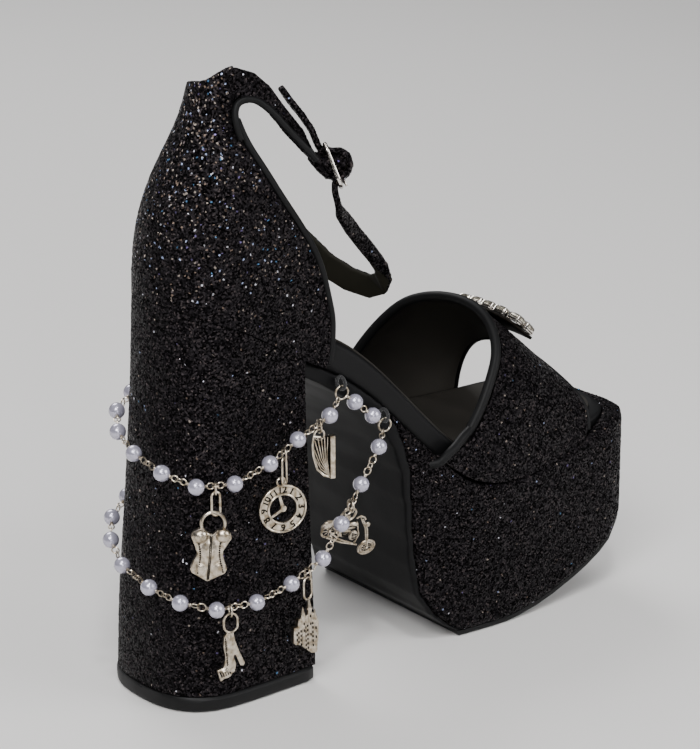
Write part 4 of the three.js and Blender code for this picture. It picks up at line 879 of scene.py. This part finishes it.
# Clock charm: a cast ring, open in the middle, with raised rims and the twelve hours standing on it in
# black. Two hands are cast on a hub, and a bail joins the ring to the chain.
CLOCK_X, CLOCK_Z = -1.0, -8.6
HOURS_AT = 6.98
HOUR_HEIGHT = 3.5
dial = turned([(5.1, -0.45), (8.8, -0.45), (8.8, 0.75), (5.1, 0.75), (5.1, -0.45)], CLOCK_X, CLOCK_Z,
              True, 48)
bmesh.ops.delete(dial, geom=[f for f in dial.faces if len(f.verts) > 4], context="FACES_ONLY")
rims = [circle_line(CLOCK_X, CLOCK_Z, 8.55, -0.55, 48), circle_line(CLOCK_X, CLOCK_Z, 5.4, -0.55, 40)]
hands = gathered("clock_hands", [
    cast_plate([(-0.6, -7.9), (-1.0, -9.4), (-5.7, -12.1), (-6, -11.3)], 0.8, -0.1, 0.15),
    cast_plate([(-0.2, -8.6), (-1.6, -8.2), (-2.6, -3.6), (-1.7, -3.4)], 0.8, -0.1, 0.15),
    turned([(0.2, -0.9), (1.1, -0.75), (1.3, -0.3), (1.3, 0.5)], -0.8, CLOCK_Z, True, 16),
])
numbers = []
for hour in range(1, 13):
    turn = math.radians(90 - hour * 30)
    writing = bpy.data.curves.new("hour", "FONT")
    writing.body = str(hour)
    writing.size = HOUR_HEIGHT
    writing.extrude = 0.12
    writing.offset = 0.05
    writing.align_x = "CENTER"
    writing.align_y = "CENTER"
    number = bpy.data.objects.new("hour", writing)
    bpy.context.collection.objects.link(number)
    select_only(number)
    bpy.ops.object.convert(target="MESH")
    number = bpy.context.object
    spot = Vector((CLOCK_X + HOURS_AT * math.cos(turn), -0.5, CLOCK_Z + HOURS_AT * math.sin(turn)))
    stand = Matrix.Rotation(math.pi / 2 - turn, 4, "Y") @ Matrix.Rotation(math.pi / 2, 4, "X")
    number.data.transform(Matrix.Translation(spot) @ stand)
    numbers.append(number)
bail = [circle_line(CLOCK_X - 0.3, 1.3, 1.5, 0, 20)]
hang("clock", 6.5, 2, 1.5, 40, [
    gathered("clock_face", [dial]),
    metal_lines("clock_rims", rims, 0.42),
    hands,
    metal_lines("clock_bail", bail, 0.45),
], numbers)


# Pump charm: a high heeled shoe cast as seen from its side, with a stitched throat and folds over the
# toe. It hangs by its collar, so its toe points down.
PUMP = [(-2.6, -1.5), (-1.5, -0.4), (0.8, -0.4), (1.5, -3.9), (2.9, -7.9), (4.7, -12.1), (4.3, -13.3),
        (3, -13.1), (1.3, -8.8), (0.7, -9), (1.5, -12.2), (1.1, -15), (-4.3, -18.5), (-5.4, -14),
        (-3, -13.3), (-2.3, -9.6), (-2.9, -5.7)]
pump = softened(gathered("pump_body", [
    cast_plate(PUMP, 1.6, 0.1, 0.3),
    knob((-0.6, 0, -4.6), (1.7, 1.3, 4.4)),
    knob((-0.6, 0, -10.6), (1.6, 1.4, 5)),
    knob((-2.4, 0, -15.4), (2.6, 1.4, 2.2)),
]), 0.2, 4)
folds = [line_to((-2.4 + 0.05 * i, -1.22, -2 - i * 0.9), (-2.35 + 0.05 * i, -1.22, -2.5 - i * 0.9))
         for i in range(12)]
folds += [line_to((-4.6 + i * 0.95, -1.2, -14.6 - i * 0.05), (-3.9 + i * 0.8, -1.28, -16.6 + i * 0.3))
          for i in range(5)]
hang("pump", 3.2, 2, 2.6, 8, [pump], [metal_lines("pump_folds", folds, 0.2, 1)])


# Castle charm: a keep with pointed towers, cast as seen from a corner. Its windows and the joints of its
# stones are black.
walls = gathered("castle_walls", [
    cast_plate([(-6.6, -9.8), (-4.9, -9.6), (-4.6, -7), (0.8, -5.4), (1.8, -5.6), (3.9, -9.3), (3.6, -15.9),
                (2.7, -21.2), (0.6, -21), (-3.8, -17.1), (-6.8, -15.9)], 2, 0.2, 0.25),
    turned([(0.9, -19), (0.9, -4.2), (1.25, -4), (1.25, -3.4), (0.9, -3.3), (0.15, 0.2)], 0.2, -0.3),
    turned([(0.8, -17), (0.8, -7), (1.1, -6.8), (1.1, -6.3), (0.12, -2.6)], -2.6, -0.5),
    turned([(0.75, -20.5), (0.75, -8.6), (1.05, -8.4), (1.05, -7.8), (0.12, -4.4)], 2.4, -0.3),
    turned([(0.8, -16.2), (0.8, -10.8), (1.05, -10.6), (1.05, -9.9), (0.7, -9.9)], -5.6, -0.4),
])
windows = []
for x in (-4.6, -3.7, -1.7, -0.9, 1.3):
    for row in range(6):
        z = -9.2 - row * 1.7 + x * 0.3 - abs(x) * 0.25
        windows.append(line_to((x, -0.84, z), (x, -0.84, z - 0.8)))
for x, z in ((-2.6, -8.4), (-2.6, -11), (-5.6, -12), (-5.6, -14), (0.2, -6), (0.2, -9), (0.2, -13),
             (2.4, -11), (2.4, -14.5)):
    windows.append(line_to((x, -1.25, z), (x, -1.25, z - 0.9)))
hang("house", 4.6, 2, 2.2, 20, [walls], [metal_lines("castle_windows", windows, 0.24, 1)])


# Motorcycle charm: two spoked wheels, a frame with tank, seat and rear bag, a raked fork and bars. It
# hangs by its rear end in the open arch, so its front wheel points down.
tyres = [circle_line(-6.5, -6.1, 3.1), circle_line(11.4, -18.6, 3.3), circle_line(11.4, -18.6, 2.5)]
spokes = []
for x, z, reach, count in ((-6.5, -6.1, 2.9, 8), (11.4, -18.6, 3.1, 9)):
    for i in range(count):
        t = i / count * math.tau
        spokes.append(line_to((x, 0, z), (x + reach * math.cos(t), 0, z + reach * math.sin(t))))
pipes = [
    line_to((-6.5, -0.5, -6.1), (-2, -0.6, -10.8), (4.6, -0.6, -14.6)),
    line_to((-7.6, -0.7, -8.6), (-1, -0.9, -12.3), (6.4, -0.6, -15.6)),
    line_to((5.4, 0, -1.6), (8.8, 0, -8.2), (11.4, 0, -18.4)),
    line_to((6.2, -0.5, -2.4), (9.4, -0.5, -8.6), (11.6, -0.5, -18.4)),
    line_to((4.4, 0, -4), (6.6, 0, -11), (5.6, 0, -15)),
    line_to((3.4, -0.7, -1.6), (5.2, -0.4, -1.1), (6.8, -0.6, -1.8), (7.4, -0.8, -3)),
    line_to((-9.6, 0, -7), (-10, 0, -3), (-8, 0, -0.9), (-5, 0, -1.6)),
]
tank = gathered("bike_body", [
    knob((2.4, 0, -5.6), (3, 0.95, 1.7)),
    knob((-2.6, 0, -4.8), (3, 0.9, 1.1)),
    knob((-7.6, -0.1, -2.8), (2.2, 0.9, 1.9)),
    knob((9.3, 0, -6.6), (1.1, 0.9, 1.1)),
    knob((0.2, -0.1, -8.6), (2.6, 0.9, 2)),
    knob((4.2, -0.1, -10.8), (1.8, 0.9, 2.4)),
    knob((-6.5, -0.1, -6.1), (0.7, 0.9, 0.7)),
    knob((11.4, -0.1, -18.6), (0.6, 0.8, 0.6)),
    cast_plate([(-0.7, -1.4), (-0.7, 0.2), (0.7, 0.2), (0.9, -4.4), (-1, -4.2)], 0.9, 0, 0.15),
])
fins = [line_to((-1.6 + 0.15 * i, -0.98, -7.3 - i * 0.62), (1.9 - 0.1 * i, -0.98, -8.3 - i * 0.62))
        for i in range(4)]
fins += [line_to((3 + 0.1 * i, -0.98, -9 - i * 0.8), (5.2, -0.98, -10 - i * 0.8)) for i in range(4)]
fins += [line_to((0.4, -0.98, -5.2), (2.4, -1.02, -4.9), (4.6, -0.9, -6.2))]
hang("motorcycle", 0, -24, 3.2, 5, [
    tank,
    metal_lines("bike_tyres", tyres, 0.42),
    metal_lines("bike_spokes", spokes, 0.16, 1),
    metal_lines("bike_pipes", pipes, 0.34),
], [metal_lines("bike_fins", fins, 0.16, 1)])


# Fan charm: a half folded fan, its silver ribs spread over a black leaf to the left of the thick outer
# stick.
LEAF = [(4, 0.8), (0, 0.8), (-1.2, 1.6), (-2.2, 1.4), (-2.6, -1.8), (-2.4, -5.7), (-0.8, -11.4),
        (1.6, -13.9), (4, -14.8)]
STICK = [(3.8, 0.9), (5.8, 0.9), (5.8, -15.3), (3.8, -15.3)]
fan_leaf = gathered("fan_leaf", [cast_plate(LEAF, 0.9, 0.1, 0.2)])
ribs = []
for x, z in ((3.1, 0.5), (1.9, 0.6), (0.6, 0.7), (-0.8, 1), (-1.9, -0.2), (-2.1, -3.6), (-1.6, -7)):
    ribs.append(line_to((3.7, -0.5, -14.2), (x * 0.5 + 1.1, -0.66, z * 0.5 - 7.6), (x, -0.5, z)))
edge_line = [line_to((0.4, -0.3, 0.7), (-2.2, -0.3, 1.3), (-2.6, -0.3, -1.8), (-2.3, -0.3, -5.8),
                     (-0.8, -0.3, -11.3), (1.6, -0.3, -13.8), (4, -0.3, -14.7))]
stick = gathered("fan_stick", [cast_plate(STICK, 2.8, 0, 0.6)])
hang("fan", 0, 0, 1.9, 0, [
    stick,
    metal_lines("fan_ribs", ribs, 0.2, 1),
    metal_lines("fan_edge", edge_line, 0.45, 1),
], [fan_leaf])


# Brooch: two rows of square cut glass stones, foiled behind, in cups with claws on a plated base. The
# foil behind the cut is a mirror; its sparkle is painted into the glass's colour as bright and dark spots
# of about 2 mm, like a mirror broken in pieces: painted reflections of the facets.
FACET_SPOT = 1.92
foiled_glass, tree, shader, place = start_material("foil backed cut glass", "#cdc3ab", 0.06, 0.75,
                                                   Coat_Weight=1.0, Coat_Roughness=0.02)
facets = add_node(tree, "ShaderNodeTexVoronoi", {"Scale": 1 / (FACET_SPOT * MM)}, {"Vector": place})
# The colour is bright in each spot's middle and dark at its edge: painted reflection.
painted_facet_glints = add_node(tree, "ShaderNodeValToRGB", links={"Fac": facets.outputs["Distance"]})
painted_facet_glints.color_ramp.elements[0].color = linear("#eee6d2")
painted_facet_glints.color_ramp.elements[1].position = 0.75
painted_facet_glints.color_ramp.elements[1].color = linear("#62594a")
tree.links.new(painted_facet_glints.outputs["Color"], shader.inputs["Base Color"])
polish = add_node(tree, "ShaderNodeMapRange", {"To Min": 0.03, "To Max": 0.16},
                  {"Value": facets.outputs["Distance"]})
tree.links.new(polish.outputs[0], shader.inputs["Roughness"])

# Each tier of a stone: its height over the middle in mm, and its share of the full width
STONE_TIERS = [(-1.7, 0.8), (-0.2, 0.98), (0.25, 1.0), (0.8, 0.88), (1.3, 0.7), (1.5, 0.56)]
STONE_HALF = 2.86
STONES_IN_ROW = 5
STONE_CORNER = 0.62
CUP_CORNER = 0.7
CUP_WIRES = ((-1.55, 0.98), (-0.7, 1.02))
CLAW_STEPS = ((2.55, -1.8), (2.5, 0.4), (2.0, 0.95))
plate_node = frame["nodes"]["brooch_plate"]
stone_middles = {}
for row in (1, 2):
    for i in range(1, STONES_IN_ROW + 1):
        low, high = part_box(f"brooch_stone_{row}_{i}")
        stone_middles[row, i] = (low + high) / 2


def cut_corners(corner):
    return [(1, corner), (corner, 1), (-corner, 1), (-1, corner), (-1, -corner), (-corner, -1),
            (corner, -1), (1, -corner)]


crystals = []
claws = []
for (row, i), middle in stone_middles.items():
    ahead = stone_middles[row, min(i + 1, STONES_IN_ROW)]
    behind = stone_middles[row, max(i - 1, 1)]
    across = (ahead - behind).normalized()
    found, spot, out, index = plate_node.closest_point_on_mesh(middle)
    out = (middle - spot).normalized() if found else Vector((0, 0, 1))
    out = (out - across * out.dot(across)).normalized()
    along = out.cross(across).normalized()
    turned_to = Matrix((across, along, out)).transposed().to_4x4()
    turned_to.translation = middle
    stone = bmesh.new()
    rings = []
    for up, size in STONE_TIERS:
        reach = STONE_HALF * size
        rings.append([stone.verts.new((u * reach, v * reach, up)) for u, v in cut_corners(STONE_CORNER)])
    for low_ring, high_ring in zip(rings, rings[1:]):
        for k in range(8):
            m = (k + 1) % 8
            stone.faces.new((low_ring[k], low_ring[m], high_ring[m], high_ring[k]))
    stone.faces.new(rings[0][::-1])
    stone.faces.new(rings[-1])
    bmesh.ops.transform(stone, matrix=turned_to @ Matrix.Scale(MM, 4), verts=stone.verts)
    crystals.append(stone)
    to_mm = Matrix.Scale(1 / MM, 4) @ turned_to @ Matrix.Scale(MM, 4)
    for level, size in CUP_WIRES:
        reach = STONE_HALF * size
        claws.append(([to_mm @ Vector((u * reach, v * reach, level)) for u, v in cut_corners(CUP_CORNER)],
                      True))
    for u, v in ((1, 1), (-1, 1), (-1, -1), (1, -1)):
        claws.append(([to_mm @ Vector((u * reach, v * reach, up)) for reach, up in CLAW_STEPS], False))
gems = gathered("brooch_crystals", crystals)
gems.data.materials.append(foiled_glass)
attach(gems, "shoe")
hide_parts(*[f"brooch_stone_{row}_{i}" for row, i in stone_middles])
wear(rod_mesh("brooch_claws", claws, 0.36, 1), bright_silver, [])
# The base is drawn in the black tarnish rather than its plated colour: painted shadow under the stones.
base = merged_copy("brooch_plate", "brooch_base")
apply_modifier(base, "BEVEL", width=0.3 * MM, segments=2, limit_method="ANGLE",
               angle_limit=math.radians(50))
wear(base, black_tarnish_and_shadow, ["brooch_plate"])
